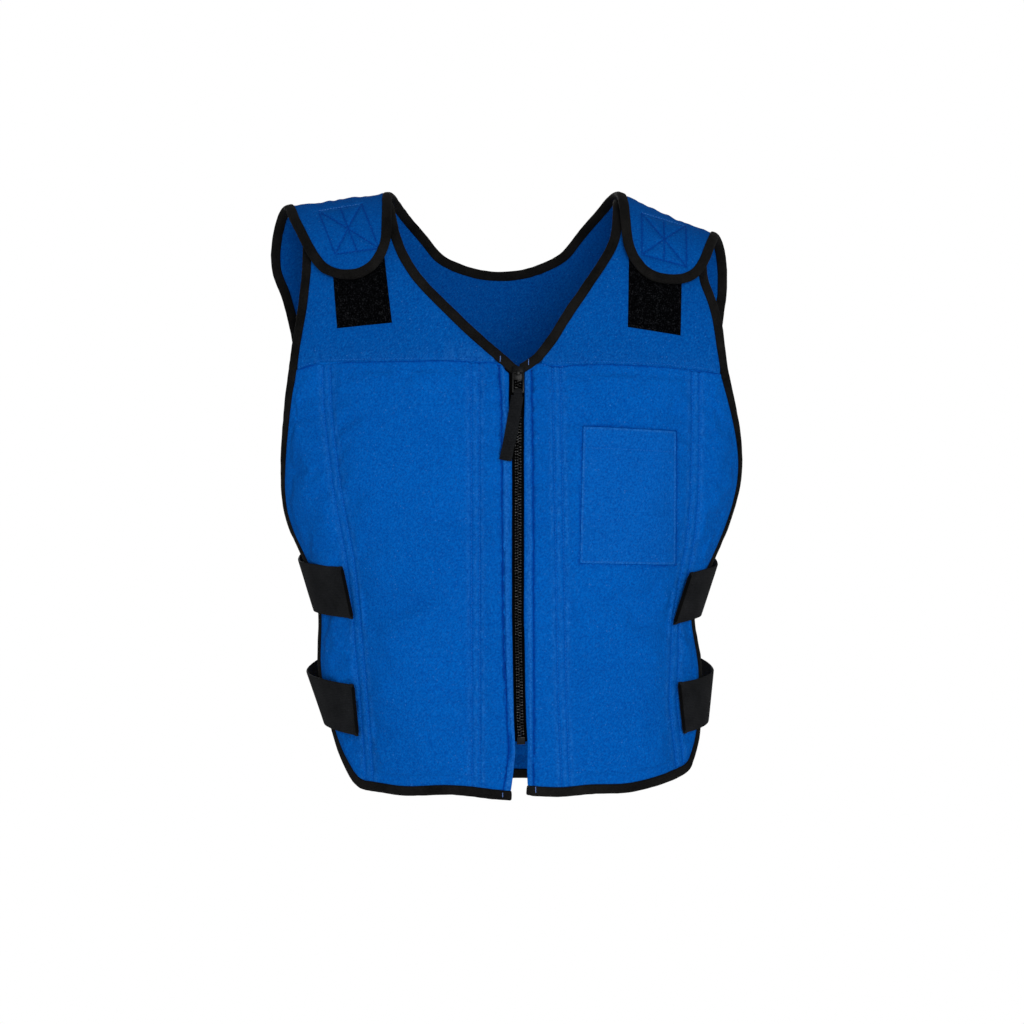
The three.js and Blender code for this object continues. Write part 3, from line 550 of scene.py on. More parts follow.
# %% Drift and relief
def drift(co):
    """Slow folds of the whole vest, along y."""
    x, z = co.x / mm, co.z / mm
    calm = smoothstep(24, 60, abs(x)) if co.y < 0 else 1.0
    low = smoothstep(-150, -260, z)
    side = 0 if co.y < 0 else 40
    broad = wobble(x / 70, z / 150 + side, side)
    hang = wobble(x / 38, z / 400 + side, 7 + side) * smoothstep(-430, -600, z)
    return Vector((0, mm * calm * low * (2.2 * broad + 2.6 * hang), 0))


def bump_at(distance, width):
    """1 on a line, and next to nothing two widths away from it."""
    return math.exp(-((distance / width) ** 2))


def tuck(co, side, way):
    """Slides a seam's edge a millimetre over the cloth on its other side, so that no gap is left."""
    return Vector((0, 0, way * mm * smoothstep(5, 2, from_seam(side, co.x / mm, co.z / mm))))


def beside_zip(co, side):
    """The slider spreads the cloth at the top, and the zip leans a little on its way down."""
    if side == "back":
        return Vector()
    x, z = abs(co.x) / mm, co.z / mm
    most, outer, inner = {"right": (-3.2, 10, 6.5), "left": (0.4, 14, 8)}[side]
    spread = most * smoothstep(-240, -213, z) * smoothstep(16.5, 8, x)
    return Vector(((spread + follow(zipLean[side], z) * smoothstep(outer, inner, x)) * mm, 0, 0))


def relief(side):
    """How far the cloth of the lower panels stands out along its normal, in metres."""
    middle = {"right": -125, "left": 115, "back": 0}[side]

    def shift(co, normal):
        slid = drift(co) + tuck(co, side, 1) + beside_zip(co, side)
        if normal.y * outward[side] < 0.15:
            return slid
        x, z = co.x / mm, co.z / mm
        out = 0
        for number, away in enumerate(from_channels(side, x, z)):
            if away > 40:
                continue
            ripple = wobble(z / 5.5, number * 9 + x / 40, middle)
            ripple += 0.6 * wobble(z / 2.6, number * 9, middle + 5)
            out -= 1.3 * bump_at(away, 13)
            out -= 0.8 * bump_at(away - rowGap / 2, 1.5)
            out += 0.9 * ripple * bump_at(away, 6) + 0.7 * ripple * bump_at(away - 9, 5)
        away, between = from_placket(side, x, z)
        out -= 1.7 * bump_at(away, 1.9) + (0 if between else 0.5 * bump_at(away, 7))
        out += 0.3 * wobble(z / 9, 3, middle) * bump_at(away, 6)
        near = from_seam(side, x, z)
        out -= 0.9 * bump_at(near, 5)
        out += 0.9 * wobble(x / 8, 11, middle) * bump_at(near - 7, 8)
        out += 0.5 * wobble(x / 17, z / 26, middle)
        return normal * (out * mm * smoothstep(-608, -585, z)) + slid

    return shift


print("drift at the hem:", round(drift(Vector((-0.1, -0.1, -0.58))).y / mm, 2), "mm")

# %% [markdown]
# ## The lower panels
# These are the big surfaces of the vest, so they get the most care. Each is a pad, so a cloth
# simulation fills it with air while its rim and its channels are held. The mesh is then refined beside
# the channels, where a row of stitches is narrower than the faces, and every point is moved by the
# relief. A sculpt would give the same result, but one that cannot be repeated or resized.

# %% Lower panels
panelRound = 1.1  # how far from a panel's edge it starts to round off
padLimit = 2.6  # the most that the filling may move a point


def refine(piece, close):
    """Splits the faces once more wherever close(point, normal) is true."""
    fine = bmesh.new()
    fine.from_mesh(piece.data)
    fine.normal_update()
    edges = [e for e in fine.edges if close((e.verts[0].co + e.verts[1].co) / 2, e.verts[0].normal)]
    bmesh.ops.subdivide_edges(fine, edges=edges, cuts=1, use_grid_fill=True)
    fine.normal_update()
    fine.to_mesh(piece.data)
    fine.free()
    piece.data.polygons.foreach_set("use_smooth", [True] * len(piece.data.polygons))


def near_seams(side):
    def close(co, normal):
        if normal.y * outward[side] < 0.2:
            return False
        x, z = co.x / mm, co.z / mm
        return from_placket(side, x, z)[0] < 6 or min(from_channels(side, x, z)) < 8

    return close


def sewn_through(side):
    """True where a channel's stitches hold the two layers together."""
    return lambda co: min(from_channels(side, co.x / mm, co.z / mm)) < rowGap / 2 + 3.5


def seam_shade_and_wear(side):
    """Painted shade under the stitch rows, placket and seam, and round the pocket; pale on rubbed ridges."""
    def shade_and_wear(co, normal):
        if normal.y * outward[side] < 0.2:
            return 0.0
        x, z = co.x / mm, co.z / mm
        surface_mark = 0.0
        for number, away in enumerate(from_channels(side, x, z)):
            if away > 20:
                continue
            patchy = 0.5 + 0.9 * wobble(x / 3, z / 8, number * 5)
            surface_mark += 0.55 * max(patchy, 0) * (bump_at(away - 7, 2) + bump_at(away, 2.2))
            surface_mark -= 0.36 * bump_at(away - rowGap / 2, 1.1)
        away, between = from_placket(side, x, z)
        surface_mark += (0.55 * bump_at(away - 4, 3) if between else 0) - 0.95 * bump_at(away, 1.3)
        surface_mark -= 0.9 * bump_at(from_seam(side, x, z), 1.6)
        if side == "left":
            # A painted shadow on the panel along the edge of the pocket.
            surface_mark -= 0.7 * bump_at(from_pocket_edge(x, z), 1.4)
        return min(max(surface_mark, -1), 1)

    return shade_and_wear


def lower_panel(name, node, side):
    piece = rounded(name, node, twill, panelRound * mm, 2)
    fill_with_air(piece, sewn_through(side), padLimit * mm)
    refine(piece, lambda co, normal: normal.y * outward[side] > 0.2)
    refine(piece, near_seams(side))
    shade(piece, seam_shade_and_wear(side))
    push(piece, relief(side))
    stand_for(node)
    return piece


front_right = lower_panel("front_panel_right", "front_body_right", "right")
front_left = lower_panel("front_panel_left", "front_body_left", "left")
back_panel = lower_panel("back_panel", "back_body", "back")
report(front_right, front_left, back_panel)

# %% [markdown]
# ## The yokes and the shoulder flaps
# Above the seam the cloth carries the loop patches, and the back yoke comes over the shoulders and
# ends in two round flaps. It is quilted wadding, so it swells a little away from its edges. Near the
# front point the yoke is gathered into small upright puckers by the seam below it, and over the
# shoulder the flap rises and falls where its stitched box holds it down.

# %% Yokes
nearSeam = -150  # below this height a yoke nears its seam
flapBoxes = {
    "right": [(-205, -15), (-160.5, -8), (-140.6, -58), (-185.5, -63)],
    "left": [(127, -18), (173, -30), (171, -76), (125.6, -64)],
}


def box_lines(corners):
    """The four sides of a stitched box, its two diagonals and the line down its middle."""
    a, b, c, d = corners
    top = ((a[0] + b[0]) / 2, (a[1] + b[1]) / 2)
    bottom = ((c[0] + d[0]) / 2, (c[1] + d[1]) / 2)
    return [(a, b), (b, c), (c, d), (d, a), (a, c), (b, d), (top, bottom)]


def from_box(corners, x, z):
    """Distance to the nearest line of a stitched box."""
    return min(from_segment(x, z, *ends) for ends in box_lines(corners))


def gathered(x):
    """True for the part of the yoke that the seam gathers most."""
    return abs(x + 50) < 26


def yoke_relief(co, normal):
    x, z = co.x / mm, co.z / mm
    out = 0.55 * wobble(x / 15, z / 24, 30) + 0.5 * wobble(x / 40, z / 40, 4)
    slid = drift(co)
    if co.y < 0 and z < nearSeam:
        side = side_at(x)
        near = from_seam(side, x, z)
        out -= 0.8 * bump_at(near, 4)
        gather = wobble(x / 4.5, 2, z / 60) * bump_at(near, 16)
        out += (1.3 if gathered(x) else 0.5) * gather
        slid += tuck(co, side, -1)
    return normal * (out * mm) + slid


def flap_relief(co, normal):
    x, z = co.x / mm, co.z / mm
    out = 0.5 * wobble(x / 18, z / 20, 50) + 0.5 * wobble(x / 45, z / 50, 8)
    crest = bump_at(co.y / mm, 26) if z > -110 else 0
    out += 1.7 * wobble(x / 8, 40, co.y / mm / 30) * crest
    slid = drift(co)
    if co.y < 0:
        near = from_box(flapBoxes[side_at(x)], x, z)
        out -= 0.75 * bump_at(near, 1.8) + 0.5 * bump_at(near, 6)
    elif z < nearSeam:
        near = from_seam("back", x, z)
        out -= 0.8 * bump_at(near, 4)
        out += 0.5 * wobble(x / 8, 2, z / 60) * bump_at(near, 16)
        slid += tuck(co, "back", -1)
    return normal * (out * mm) + slid


# Painted shade along the yoke seam, and pale on the puckers gathered above it.
def yoke_shade_and_wear(co, normal):
    x, z = co.x / mm, co.z / mm
    if co.y > 0 or z > nearSeam:
        return 0.0
    near = from_seam(side_at(x), x, z)
    gather = max(0.5 + wobble(x / 4.5, 2, z / 60), 0) * bump_at(near, 14)
    return (0.5 if gathered(x) else 0.2) * gather - 0.75 * bump_at(near, 1.3)


# Painted shade along the lines of the stitched box and the back seam, and pale along the box's rubbed top.
def flap_shade_and_wear(co, normal):
    x, z = co.x / mm, co.z / mm
    if co.y < 0:
        corners = flapBoxes[side_at(x)]
        along_top = bump_at(from_segment(x, z, *corners[:2]), 1.8)
        rubbed = max(0.5 + wobble(x / 3, z / 3, 80), 0) * along_top
        return rubbed - 0.55 * bump_at(from_box(corners, x, z), 1.1)
    return -0.75 * bump_at(from_seam("back", x, z), 1.3) if z < nearSeam else 0.0


def on_flap(co, normal):
    return co.y < 0.01 or co.z < -0.14


def near_box(co, normal):
    return co.y < 0 and min(from_box(box, co.x / mm, co.z / mm) for box in flapBoxes.values()) < 4


def upper_panel(name, node, change, shade_and_wear, close):
    piece = rounded(name, node, shaded_shoulder_twill, panelRound * mm, 2)
    refine(piece, close)
    refine(piece, near_box)
    shade(piece, shade_and_wear)
    push(piece, change)
    stand_for(node)
    return piece


yoke_right, yoke_left = (
    upper_panel("front_yoke_cloth_" + side, "front_yoke_" + side, yoke_relief, yoke_shade_and_wear,
                lambda co, normal: normal.y < 0.1) for side in ("right", "left"))
back_yoke = upper_panel("back_yoke_and_flaps", "back_yoke", flap_relief, flap_shade_and_wear, on_flap)
report(yoke_right, yoke_left, back_yoke)

# %% [markdown]
# ## The edge tape
# A tape about two centimetres wide is folded over every free edge and sewn through both layers. It
# has the drift of the cloth under it and small uneven ripples, where it was eased round the curves.

# %% Edge tape
tapeLap = 0.8  # how far the tape laps over the cloth


def tape_ripple(co, normal):
    x, y, z = (v / mm for v in co)
    out = 0.35 * wobble(x / 7, y / 7, z / 7)
    out += 0.3 * wobble(x / 22, y / 22, z / 22 + 9)
    shift = normal * ((tapeLap + out) * mm) + drift(co)
    if co.y < 0 and z < -560:
        shift += beside_zip(co, side_at(x))
    return shift


def edge_tape(name, node):
    piece = rounded(name, node, binding_tape, 1.3 * mm, 2)
    push(piece, tape_ripple)
    stand_for(node)
    return piece


tape_right = edge_tape("edge_tape_right", "front_binding_right")
tape_left = edge_tape("edge_tape_left", "front_binding_left")
tape_back = edge_tape("edge_tape_back", "back_binding")

# %% [markdown]
# ## Pieces laid on the cloth
# The pocket and the loop patches lie on cloth that now has folds, so they cannot keep the smooth shape
# of their solids. A ray sent straight at the cloth finds its surface under every point of a grid, and
# the piece is built on those points. It stays on what carries it however that is changed later.

# %% Laying a piece on the cloth
def surface_of(*pieces):
    made = bmesh.new()
    for piece in pieces:
        made.from_mesh(piece.data)
    found = BVHTree.FromBMesh(made)
    made.free()
    return found


def touch(surface, x, z, facing=-1):
    """The cloth's point and normal at x and z in millimetres, seen from the front or the back."""
    start = Vector((x * mm, facing * 0.6, z * mm))
    point, normal, _, _ = surface.ray_cast(start, Vector((0, -facing, 0)))
    return point, normal


def skin_grid(made, points):
    """Faces over a grid of points."""
    verts = [[made.verts.new(p) for p in row] for row in points]
    for low, high in zip(verts, verts[1:]):
        for i in range(len(low) - 1):
            made.faces.new((low[i], low[i + 1], high[i + 1], high[i]))
    return verts


def smoothed(spots):
    """The same grid of points and normals, each averaged with its neighbours, as stiffer cloth lies."""
    for _ in range(4):
        kept = spots
        spots = [list(row) for row in kept]
        for j in range(1, len(kept) - 1):
            for i in range(1, len(kept[j]) - 1):
                near = (kept[j][i], kept[j][i - 1], kept[j][i + 1], kept[j - 1][i], kept[j + 1][i])
                spots[j][i] = (sum((p for p, _ in near), Vector()) / 5,
                               sum((n for _, n in near), Vector()).normalized())
    return spots


def laid_piece(name, corners, spacing, surface, material, height):
    """A closed piece on the front. height(u, v, wide, long) is how far its top stands off, in mm."""
    a, b, c, d = (Vector(corner) for corner in corners)
    wide, long = (b - a).length, (d - a).length
    columns, lines = round(wide / spacing), round(long / spacing)
    spots = []
    for j in range(lines + 1):
        first, last = a.lerp(d, j / lines), b.lerp(c, j / lines)
        spots.append([touch(surface, *first.lerp(last, i / columns)) for i in range(columns + 1)])
    top, under = [], []
    for j, row in enumerate(smoothed(spots)):
        lifts = [height(i / columns * wide, j / lines * long, wide, long) for i in range(columns + 1)]
        top.append([point + normal * (lift * mm) for (point, normal), lift in zip(row, lifts)])
        under.append([point + normal * (0.25 * mm) for point, normal in row])
    made = bmesh.new()
    rims = []
    for points in (top, under):
        grid = skin_grid(made, points)
        right, left = [row[-1] for row in grid[1:]], [row[0] for row in grid[-2:0:-1]]
        rims.append(grid[0] + right + grid[-1][-2::-1] + left)
    first, second = rims
    for i in range(len(first)):
        made.faces.new((first[i - 1], first[i], second[i], second[i - 1]))
    bmesh.ops.recalc_face_normals(made, faces=made.faces)
    piece = new_piece(name, made, material)
    print(name, round(wide), "by", round(long), "mm,", triangles(piece), "triangles")
    return piece, wide, long


yoke_surface = surface_of(yoke_right, yoke_left)
body_surface = surface_of(front_right, front_left)
print("the cloth at the pocket:", touch(body_surface, 110, -310)[0])

# %% [markdown]
# ## The loop patches
# These are the soft half of the shoulder closures: thousands of tiny loops standing on a woven base.
# Real loops would need far too many triangles, so the top of the patch is a fine grid, each point
# raised by a random amount, and the finish adds loops that are smaller than the grid.

# %% Loop patches
pile = random.Random(11)


def pile_height(u, v, wide, long):
    rim = min(u, v, wide - u, long - v)
    return 0.6 + 1.0 * smoothstep(0, 2.2, rim) + pile.uniform(-0.26, 0.26)


patchCorners = {
    "right": [(-182.4, -139.5), (-126.7, -134.5), (-138, -44), (-191, -46)],
    "left": [(110.4, -139), (163.9, -147), (166.8, -62), (112.8, -48)],
}
for side, corners in patchCorners.items():
    patch, wide, long = laid_piece("loop_patch_cloth_" + side, corners, 0.9, yoke_surface, loop_pile,
                                   pile_height)
    stand_for("loop_patch_" + side)

# %% [markdown]
# ## The chest pocket
# A patch pocket is one layer of the same twill, folded in at its edges, sewn down on three sides and
# hemmed along its open top. It is a little baggy, so its middle stands off the panel. The height of
# each point comes from its distance to the sewn edges, less where a row of stitches pulls it down.

# %% Pocket
hemDepth = 23
edgeStitch = 2.4


def pocket_height(u, v, wide, long):
    sewn = min(u, wide - u, v)
    rim = min(sewn, long - v)
    fold = 0.25 + 1.35 * math.sqrt(1 - (1 - min(rim, 1.5) / 1.5) ** 2)
    bag = 1.3 * smoothstep(2, 30, sewn)
    hem = 0.45 * smoothstep(hemDepth + 0.8, hemDepth - 0.8, long - v)
    pulled = 0.55 * bump_at(sewn - edgeStitch, 1.1) + 0.6 * bump_at(long - v - hemDepth + 1.5, 1.1)
    pucker = wobble(u / 5, v / 5, 60) * bump_at(sewn - 5, 4)
    slack = wobble(u / 26, v / 34, 61) * smoothstep(4, 25, sewn)
    return fold + bag + hem - pulled + 0.3 * pucker + 0.7 * slack


def pocket_shade_and_wear(co, normal):
    """Pale along the folded edge, which is rubbed, and a painted shadow where it turns down to the panel."""
    x, z = co.x / mm, co.z / mm
    rim = from_pocket_edge(x, z)
    patchy = max(0.75 + 0.8 * wobble(x / 5, z / 5, 70), 0.2)
    return 0.08 + 1.2 * patchy * bump_at(rim - 1.4, 0.9) - 1.1 * bump_at(rim, 0.7)


pocket_cloth, wide, long = laid_piece("pocket_cloth", pocketCorners, 1.15, body_surface, twill, pocket_height)
shade(pocket_cloth, pocket_shade_and_wear)
stand_for("chest_pocket")

# %% [markdown]
# ## The four straps
# Elastic webbing 52 mm wide comes from the back over each open side and closes on the front panel with
# hooks on its inner face. The free end is folded and sewn, so it is thicker; its darker colour is painted
# shade.
# The solids already have the path round the body; the strap takes it over and gets that folded end.


def cut_faces(node, sign):
    """The faces of a strap's cut end, at the front."""
    return [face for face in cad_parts[node].data.polygons
            if face.center.y < 0 and face.normal.y < 0 and face.normal.x * -sign > 0.45]


def free_end(node, sign):
    """Middle and direction of the cut end."""
    faces = cut_faces(node, sign)
    area = sum(face.area for face in faces)
    middle = sum((face.center * face.area for face in faces), Vector()) / area
    return middle, sum((face.normal * face.area for face in faces), Vector()).normalized()


def side_strap(node, sign):
    middle, way = free_end(node, sign)
    piece = rounded(node.replace("strap", "elastic_strap"), node, webbing, 0.55 * mm, 2)

    def shift(co, normal):
        back = (middle - co).dot(way) / mm
        sideways = normal - way * normal.dot(way)
        folded = 0.75 * smoothstep(4.2, 3.4, back)
        wave = 0.35 * wobble(co.x / mm / 16, co.y / mm / 16, co.z / mm / 22)
        return sideways * ((folded + 0.3 * wave) * mm) + drift(co) + normal * (0.2 * wave * mm)

    push(piece, shift)
    stand_for(node)
    return piece


straps = [side_strap(f"strap_{level}_{side}", sign)
          for side, sign in (("right", -1), ("left", 1)) for level in ("upper", "lower")]

# %% [markdown]
# ## The zip
# Two woven tapes carry a row of moulded teeth each, and the rows lock into one another. The solids hold
# the teeth as plain strips, because teeth this small are only a matter of looks. Here each tooth is a
# small rounded block, set along the middle of the front, where the strip's own surface gives its depth.

# %% Zip tapes and teeth
teethTop = -192
teethBottom = -549
pitch = 2.9


def zip_tape(side):
    """One half of the tape, which leans with the zip. Its top is drawn up to the slider."""
    piece = rounded("zip_tape_cloth_" + side, "zip_tape_" + side, zip_cloth, 0.25 * mm, 2)
    push(piece, lambda co, normal: Vector((follow(zipLean[side], co.z / mm) * mm, 0,
                                           10 * mm * smoothstep(-207, -193, co.z / mm))))
    stand_for("zip_tape_" + side)
    return piece


def tooth(made, x, y, z, tilt, size, bevel, swing=0.0):
    """One rounded block, tilted with the front of the vest."""
    turned = Matrix.Translation((x * mm, y, z * mm)) @ Matrix.Rotation(tilt, 4, "X")
    turned = turned @ Matrix.Rotation(swing, 4, "Z")
    shaped = turned @ Matrix.Diagonal((*(v * mm for v in size), 1))
    verts = bmesh.ops.create_cube(made, size=1, matrix=shaped)["verts"]
    edges = list({e for v in verts for e in v.link_edges})
    bmesh.ops.bevel(made, geom=edges, offset=bevel * mm, offset_type="OFFSET", segments=2, profile=0.5,
                    affect="EDGES")


def zip_teeth(side, sign):
    surface = surface_of(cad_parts["zip_teeth_" + side])
    loose = random.Random(sign + 5)
    made = bmesh.new()
    z = teethTop if sign < 0 else teethTop - pitch / 2
    while z > teethBottom:
        point = touch(surface, sign * 1.5, z)[0]
        lower = touch(surface, sign * 1.5, z - 2)[0]
        tilt = math.atan2(lower.y - point.y, 2 * mm) + loose.uniform(-0.3, 0.3)
        swing = loose.uniform(-0.2, 0.2)
        middle = follow(zipLean["left"], z)
        tooth(made, middle + sign * 1.25, point.y + 1.0 * mm, z, tilt, (3.9, 2.5, 1.25), 0.34, swing)
        tooth(made, middle + sign * 2.75, point.y + 0.85 * mm, z, tilt, (1.1, 2.7, 2.1), 0.25)
        z -= pitch
    piece = new_piece("moulded_teeth_" + side, made, teeth_plastic)
    stand_for("zip_teeth_" + side)
    return piece


for side in ("right", "left"):
    zip_tape(side)
teeth = [zip_teeth("right", -1), zip_teeth("left", 1)]
stop = bmesh.new()
stop_point = touch(surface_of(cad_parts["zip_teeth_right"]), -1.5, teethBottom)[0]
tooth(stop, follow(zipLean["left"], teethBottom), stop_point.y + 1.1 * mm, teethBottom - 4.5, 0.3,
      (8.4, 3.0, 8.2), 0.7)
bottom_stop = new_piece("zip_bottom_stop", stop, teeth_plastic)
report(*teeth, bottom_stop)

# %% [markdown]
# ## Slider, puller and cloth tab
# The slider and its puller are cast metal under black paint. Their solids have the right form, so they
# only get rounder edges, which is where the light catches them. The tab is a folded strip of ribbed tape
# tied through the puller; it turns with it, so it rides on the puller's body.


def cast_part(name, node, body):
    cage = cage_of(node)
    soften(cage, 0.28 * mm, 35)
    piece = new_piece(name, cage, painted_metal, body)
    piece.data.set_sharp_from_angle(angle=math.radians(50))
    stand_for(node)
    return piece


slider = cast_part("painted_slider", "zip_slider", "vest")
puller = cast_part("painted_puller", "zip_puller", "puller")
tab = rounded("ribbed_tab", "pull_tab", webbing, 0.5 * mm, 2, "puller")
tab_low, tab_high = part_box("pull_tab")


def tab_ribs(co, normal):
    """Ribs across the tab, and a slight swing of its free end to the wearer's right."""
    rib = 0.12 * math.sin(co.z / mm * 2 * math.pi / 2.2)
    down = (tab_high[2] - co.z) / (tab_high[2] - tab_low[2])
    swing = Vector((-2.6 * down * down * mm, -1.8 * down * down * mm, -1.6 * down * mm))
    wider = Vector((math.copysign(0.5 * mm, normal.x) if abs(normal.x) > 0.3 else 0, 0, 0))
    return normal * ((rib + 0.2 * noise.noise(co * 120)) * mm) + swing + wider


push(tab, tab_ribs)
stand_for("pull_tab")
report(slider, puller, tab)

# %% [markdown]
# ## Thread
# Every seam that shows is sewn with visible stitches, nearly three millimetres each. A stitch is a
# short strand that dips into the cloth at both ends. They could be painted as a dashed line, but a real
# strand catches light and lies in its groove. A row is a list of points on the flat front or back; rays
# lay it on the cloth, and all the stitches of one seam become one piece.

# %% Sewing
stitchPitch = 2.9
stitchLength = 2.1
threadRadius = 0.34
handError = 0.15  # how far a stitch misses its row
strandSides = 5


def strand(made, start, end, normal, radius):
    """One stitch: a strand that rises from the cloth and dips back into it."""
    along = (end - start).normalized()
    side = along.cross(normal).normalized()
    rings = []
    for share, lift, size in ((0, -0.5, 0.45), (0.22, 0.35, 1), (0.78, 0.35, 1), (1, -0.5, 0.45)):
        middle = start.lerp(end, share) + normal * (lift * radius)
        points = ring(middle, side * (radius * size), normal * (radius * size), strandSides)
        rings.append([made.verts.new(point) for point in points])
    for low, high in zip(rings, rings[1:]):
        for i in range(strandSides):
            k = (i + 1) % strandSides
            made.faces.new((low[i], low[k], high[k], high[i]))
    made.faces.new(list(reversed(rings[0])))
    made.faces.new(rings[-1])


def along_row(points, pitch):
    """Points spaced evenly along a chain of straight lines."""
    spaced, left = [], 0.0
    for start, end in zip(points, points[1:]):
        run = math.hypot(end[0] - start[0], end[1] - start[1])
        at = left
        while at < run:
            share = at / run
            spaced.append((start[0] + (end[0] - start[0]) * share, start[1] + (end[1] - start[1]) * share))
            at += pitch
        left = at - run
    return spaced


def sew(name, lines, surface, facing, thread):
    """Sews rows of stitches through the cloth. Lines hold x and z in millimetres."""
    made = bmesh.new()
    hand = random.Random(len(name))
    count = 0
    for points in lines:
        spots = along_row(points, stitchPitch)
        for (x, z), (next_x, next_z) in zip(spots, spots[1:]):
            x += hand.uniform(-handError, handError)
            z += hand.uniform(-handError, handError)
            share = stitchLength / stitchPitch
            start, normal = touch(surface, x, z, facing)
            end, _ = touch(surface, x + (next_x - x) * share, z + (next_z - z) * share, facing)
            if start is None or end is None or (end - start).length > 2 * stitchPitch * mm:
                continue
            strand(made, start, end, normal, threadRadius * mm)
            count += 1
    piece = new_piece(name, made, thread)
    print(name, count, "stitches,", triangles(piece), "triangles")
    return piece


def points_of(table, shift_x=0.0, shift_z=0.0):
    return [(row["x"] + shift_x, row["z"] + shift_z) for row in table]


# %% [markdown]
# ## The visible seams
# The channels have two rows each, the placket one beside the zip, and the yoke is topstitched just
# above its seam. The pocket is sewn close to its edges and again along its hem, and each flap is
# held to the closure inside it by a box with two diagonals and a line down the middle.

# %% Seams of the front
def channel_lines(side):
    return [points_of(table, way * rowGap / 2) for table in channels[side] for way in (-1, 1)]


for side, panel, yoke in (("right", front_right, yoke_right), ("left", front_left, yoke_left)):
    lower = surface_of(panel)
    sew("channel_thread_" + side, channel_lines(side), lower, -1, blue_thread)
    sew("placket_thread_" + side, [points_of(plackets[side])], lower, -1, deep_thread)
    sew("yoke_thread_" + side, [points_of(seams[side], 0, 3)], surface_of(yoke), -1, blue_thread)

# %% Seams of the pocket, the flaps and the back
rubbed_thread = thread_finish("rubbed thread", (30, 100, 186), (84, 140, 210))


insets = ((edgeStitch, edgeStitch), (-edgeStitch, edgeStitch), (-edgeStitch, 0), (edgeStitch, 0))
a, b, c, d = [(x + dx, z + dz) for (x, z), (dx, dz) in zip(pocketCorners, insets)]
hem = [(d[0] - 0.3, d[1] - hemDepth + 1.5), (c[0], c[1] - hemDepth + 1.5)]
sew("pocket_thread", [[d, a, b, c], hem], surface_of(pocket_cloth), -1, blue_thread)
flap_surface = surface_of(back_yoke)
boxes = [list(ends) for corners in flapBoxes.values() for ends in box_lines(corners)[1:]]
sew("flap_thread", boxes, flap_surface, -1, deep_thread)
tops = [corners[:2] for corners in flapBoxes.values()]
sew("flap_top_thread", tops, flap_surface, -1, rubbed_thread)
sew("back_channel_thread", channel_lines("back"), surface_of(back_panel), 1, blue_thread)
sew("back_yoke_thread", [points_of(seams["back"], 0, 3)], flap_surface, 1, blue_thread)

# %% [markdown]
# ## Thread ends over the tape
# Where the tape meets the yoke seam and the hem, a few blue stitches are sewn across it to lock it. The
# strands follow one another without a gap, so each lock is one short bright line.

# %% Locking stitches
lockPitch = 1.5
tapeLocks = {
    "right": [((-17.6, -168.6), (-17.9, -175.2)), ((-15.4, -605.8), (-15.2, -611))],
    "left": [((10.7, -171.8), (10.5, -178.2)), ((17.6, -599.8), (17.8, -605.8))],
}
pale_thread = thread_finish("pale thread", (66, 104, 178), (122, 150, 208))


def locking_stitches(side, tape):
    surface = surface_of(tape)
    made = bmesh.new()
    for ends in tapeLocks[side]:
        spots = [touch(surface, x, z) for x, z in along_row(ends, lockPitch)]
        found = [spot for spot in spots if spot[0] is not None]
        for (start, normal), (end, _) in zip(found, found[1:]):
            strand(made, start, end.lerp(start, -0.15), normal, 0.42 * mm)
    piece = new_piece("locking_stitches_" + side, made, pale_thread)
    print(piece.name, triangles(piece), "triangles")


for side, tape in (("right", tape_right), ("left", tape_left)):
    locking_stitches(side, tape)

# %% [markdown]
# ## Sewn ends of the straps
# The free end of each strap is turned under and sewn, which leaves a thick roll across it, coloured darker as
# painted shade. It is a separate rounded bar along the cut, as long as the strap is wide.

# %% Strap ends
rollSides = 10
rollSteps = 14
rollWide = 1.6
rollThick = 2.3


def strap_end(name, node):
    """A roll along the cut end of a strap, through the middle of the cut."""
    sign = -1 if "right" in node else 1
    middle, way = free_end(node, sign)
    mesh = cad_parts[node].data
    cut = {i for face in cut_faces(node, sign) for i in face.vertices}
    corners = sorted({tuple(round(c, 5) for c in mesh.vertices[i].co) for i in cut}, key=lambda co: co[2])
    low, high = (sum(map(Vector, pair), Vector()) / 2 for pair in (corners[:2], corners[-2:]))
    up = (high - low).normalized()
    through = way.cross(up).normalized()
    rings = []
    for j in range(rollSteps + 1):
        share = j / rollSteps
        bare = low.lerp(high, share)
        near = sorted((Vector(co) for co in corners), key=lambda co: (co - bare).length)[:2]
        bow = (sum(near, Vector()) / 2 - bare).dot(through)
        round_off = math.sqrt(max(1 - max(abs(share - 0.5) - 0.46, 0) ** 2 / 0.0018, 0.05))
        core = bare + drift(bare) + through * (bow * 0.6) - way * (0.7 * mm)
        arms = way * (rollWide * mm * round_off), through * (rollThick * mm * round_off)
        points = ring(core, *arms, rollSides)
        rings.append(points + points[:1])
    made = bmesh.new()
    skin_grid(made, rings)
    bmesh.ops.remove_doubles(made, verts=made.verts, dist=1e-7)
    bmesh.ops.holes_fill(made, edges=[e for e in made.edges if e.is_boundary])
    bmesh.ops.recalc_face_normals(made, faces=made.faces)
    piece = new_piece(name, made, strap_fold_painted_shade)
    return piece


# The roll's finish is a darker copy of the webbing: painted shade along the strap's end.
strap_fold_painted_shade = ribbed_finish("folded strap end", (8, 8, 8), (20, 20, 21), 260, (0, 0.2, 0), 0.04)
ends = [strap_end(f"strap_end_{level}_{side}", f"strap_{level}_{side}")
        for side in ("right", "left") for level in ("upper", "lower")]
print("strap ends:", [piece.name for piece in ends])

# %% [markdown]
# ## The pale studio
# The vest was photographed on pure white. Here it hangs as high as it is worn, over a round pale floor
# that lies just below the picture. A wall of paper behind the vest would give the white as well, but it
# would stand in the way of anyone who looks from behind, so the white is the world itself: the camera
# sees it at full strength, and the cloth gets a third of it as light from all round. Soft lamps stand
# in front and behind.

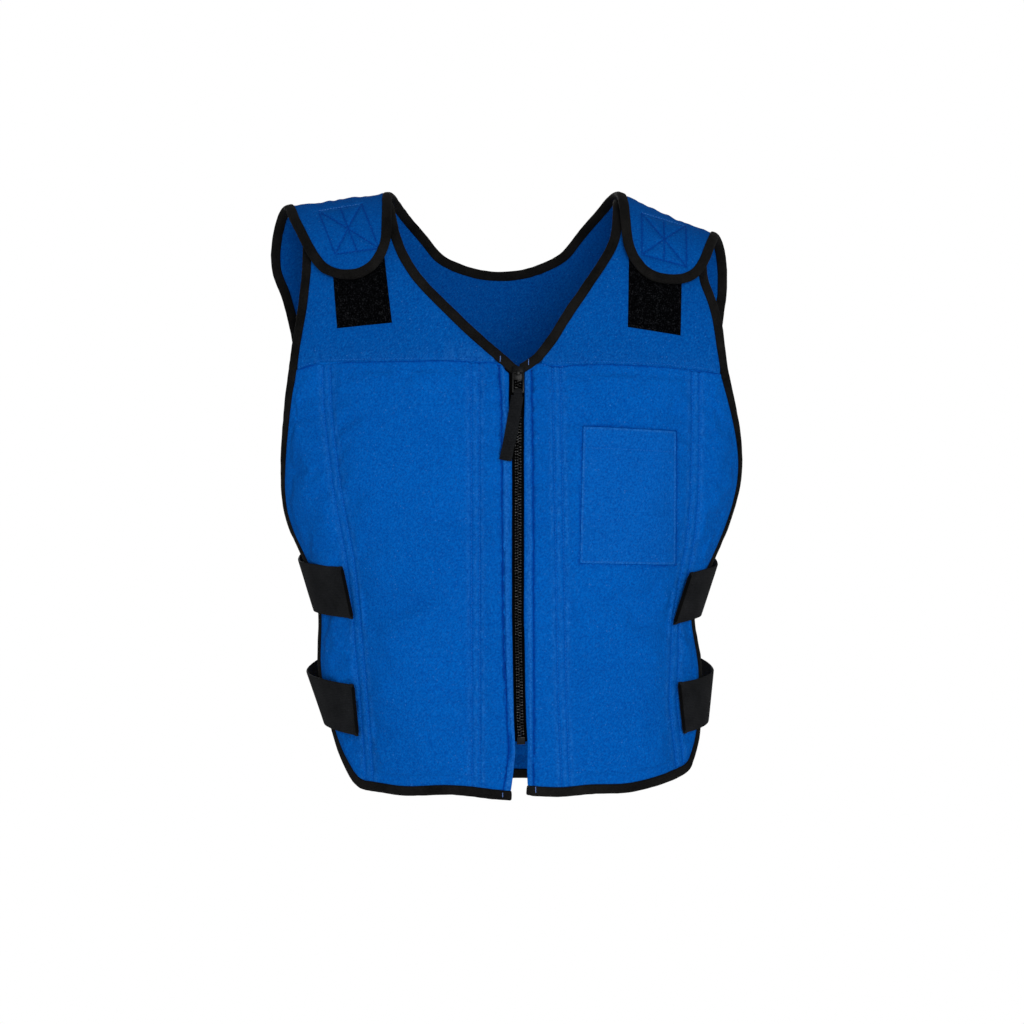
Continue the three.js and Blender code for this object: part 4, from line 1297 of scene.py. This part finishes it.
# %% Floor, lamps and white world
floorDepth = -1.42
floorRadius = 3.2
worldLight = 0.36
vestMiddle = Vector((0, 0, -0.33))


def pale_floor():
    made = bmesh.new()
    middle, rings = Vector((0, 0, floorDepth)), []
    for radius in (0.02, 0.8, 1.6, 2.4, floorRadius):
        points = ring(middle, Vector((radius, 0, 0)), Vector((0, radius, 0)), 64)
        rings.append(points + points[:1])
    skin_grid(made, rings)
    bmesh.ops.remove_doubles(made, verts=made.verts, dist=1e-5)
    hole = [e for e in made.edges if e.is_boundary and e.verts[0].co.xy.length < 0.1]
    bmesh.ops.holes_fill(made, edges=hole)
    bmesh.ops.recalc_face_normals(made, faces=made.faces)
    paper, tree, shader = finish("floor paper", 0.9)
    grain = speckle(tree, place(tree), 40, 3)
    drive(tree, shader, Base_Color=ramp(tree, grain, [(0.3, 0.9), (0.7, 0.94)]))
    mesh = bpy.data.meshes.new("floor")
    made.to_mesh(mesh)
    made.free()
    floor = bpy.data.objects.new("floor", mesh)
    bpy.context.collection.objects.link(floor)
    mesh.materials.append(paper)


def soft_light(name, at, size, power):
    data = bpy.data.lights.new(name, "AREA")
    data.shape = "DISK"
    data.size = size
    data.energy = power
    lamp = bpy.data.objects.new(name, data)
    lamp.location = at
    lamp.rotation_euler = (vestMiddle - Vector(at)).to_track_quat("-Z", "Y").to_euler()
    bpy.context.collection.objects.link(lamp)


pale_floor()
soft_light("key", (0.5, -3.0, -0.1), 1.5, 42)
soft_light("fill", (-1.9, -2.4, -0.5), 1.6, 4)
soft_light("back", (-0.7, 3.1, 0.3), 1.5, 26)
bpy.context.scene.view_settings.view_transform = "Standard"
world = bpy.data.worlds.new("white studio")
bpy.context.scene.world = world
world.use_nodes = True
background = world.node_tree.nodes["Background"]
background.inputs["Color"].default_value = (1, 1, 1, 1)
seen = add(world.node_tree, "LightPath", {}).outputs["Is Camera Ray"]
level = add(world.node_tree, "MapRange", {"Value": seen, "To Min": worldLight, "To Max": 1.0})
world.node_tree.links.new(level.outputs["Result"], background.inputs["Strength"])
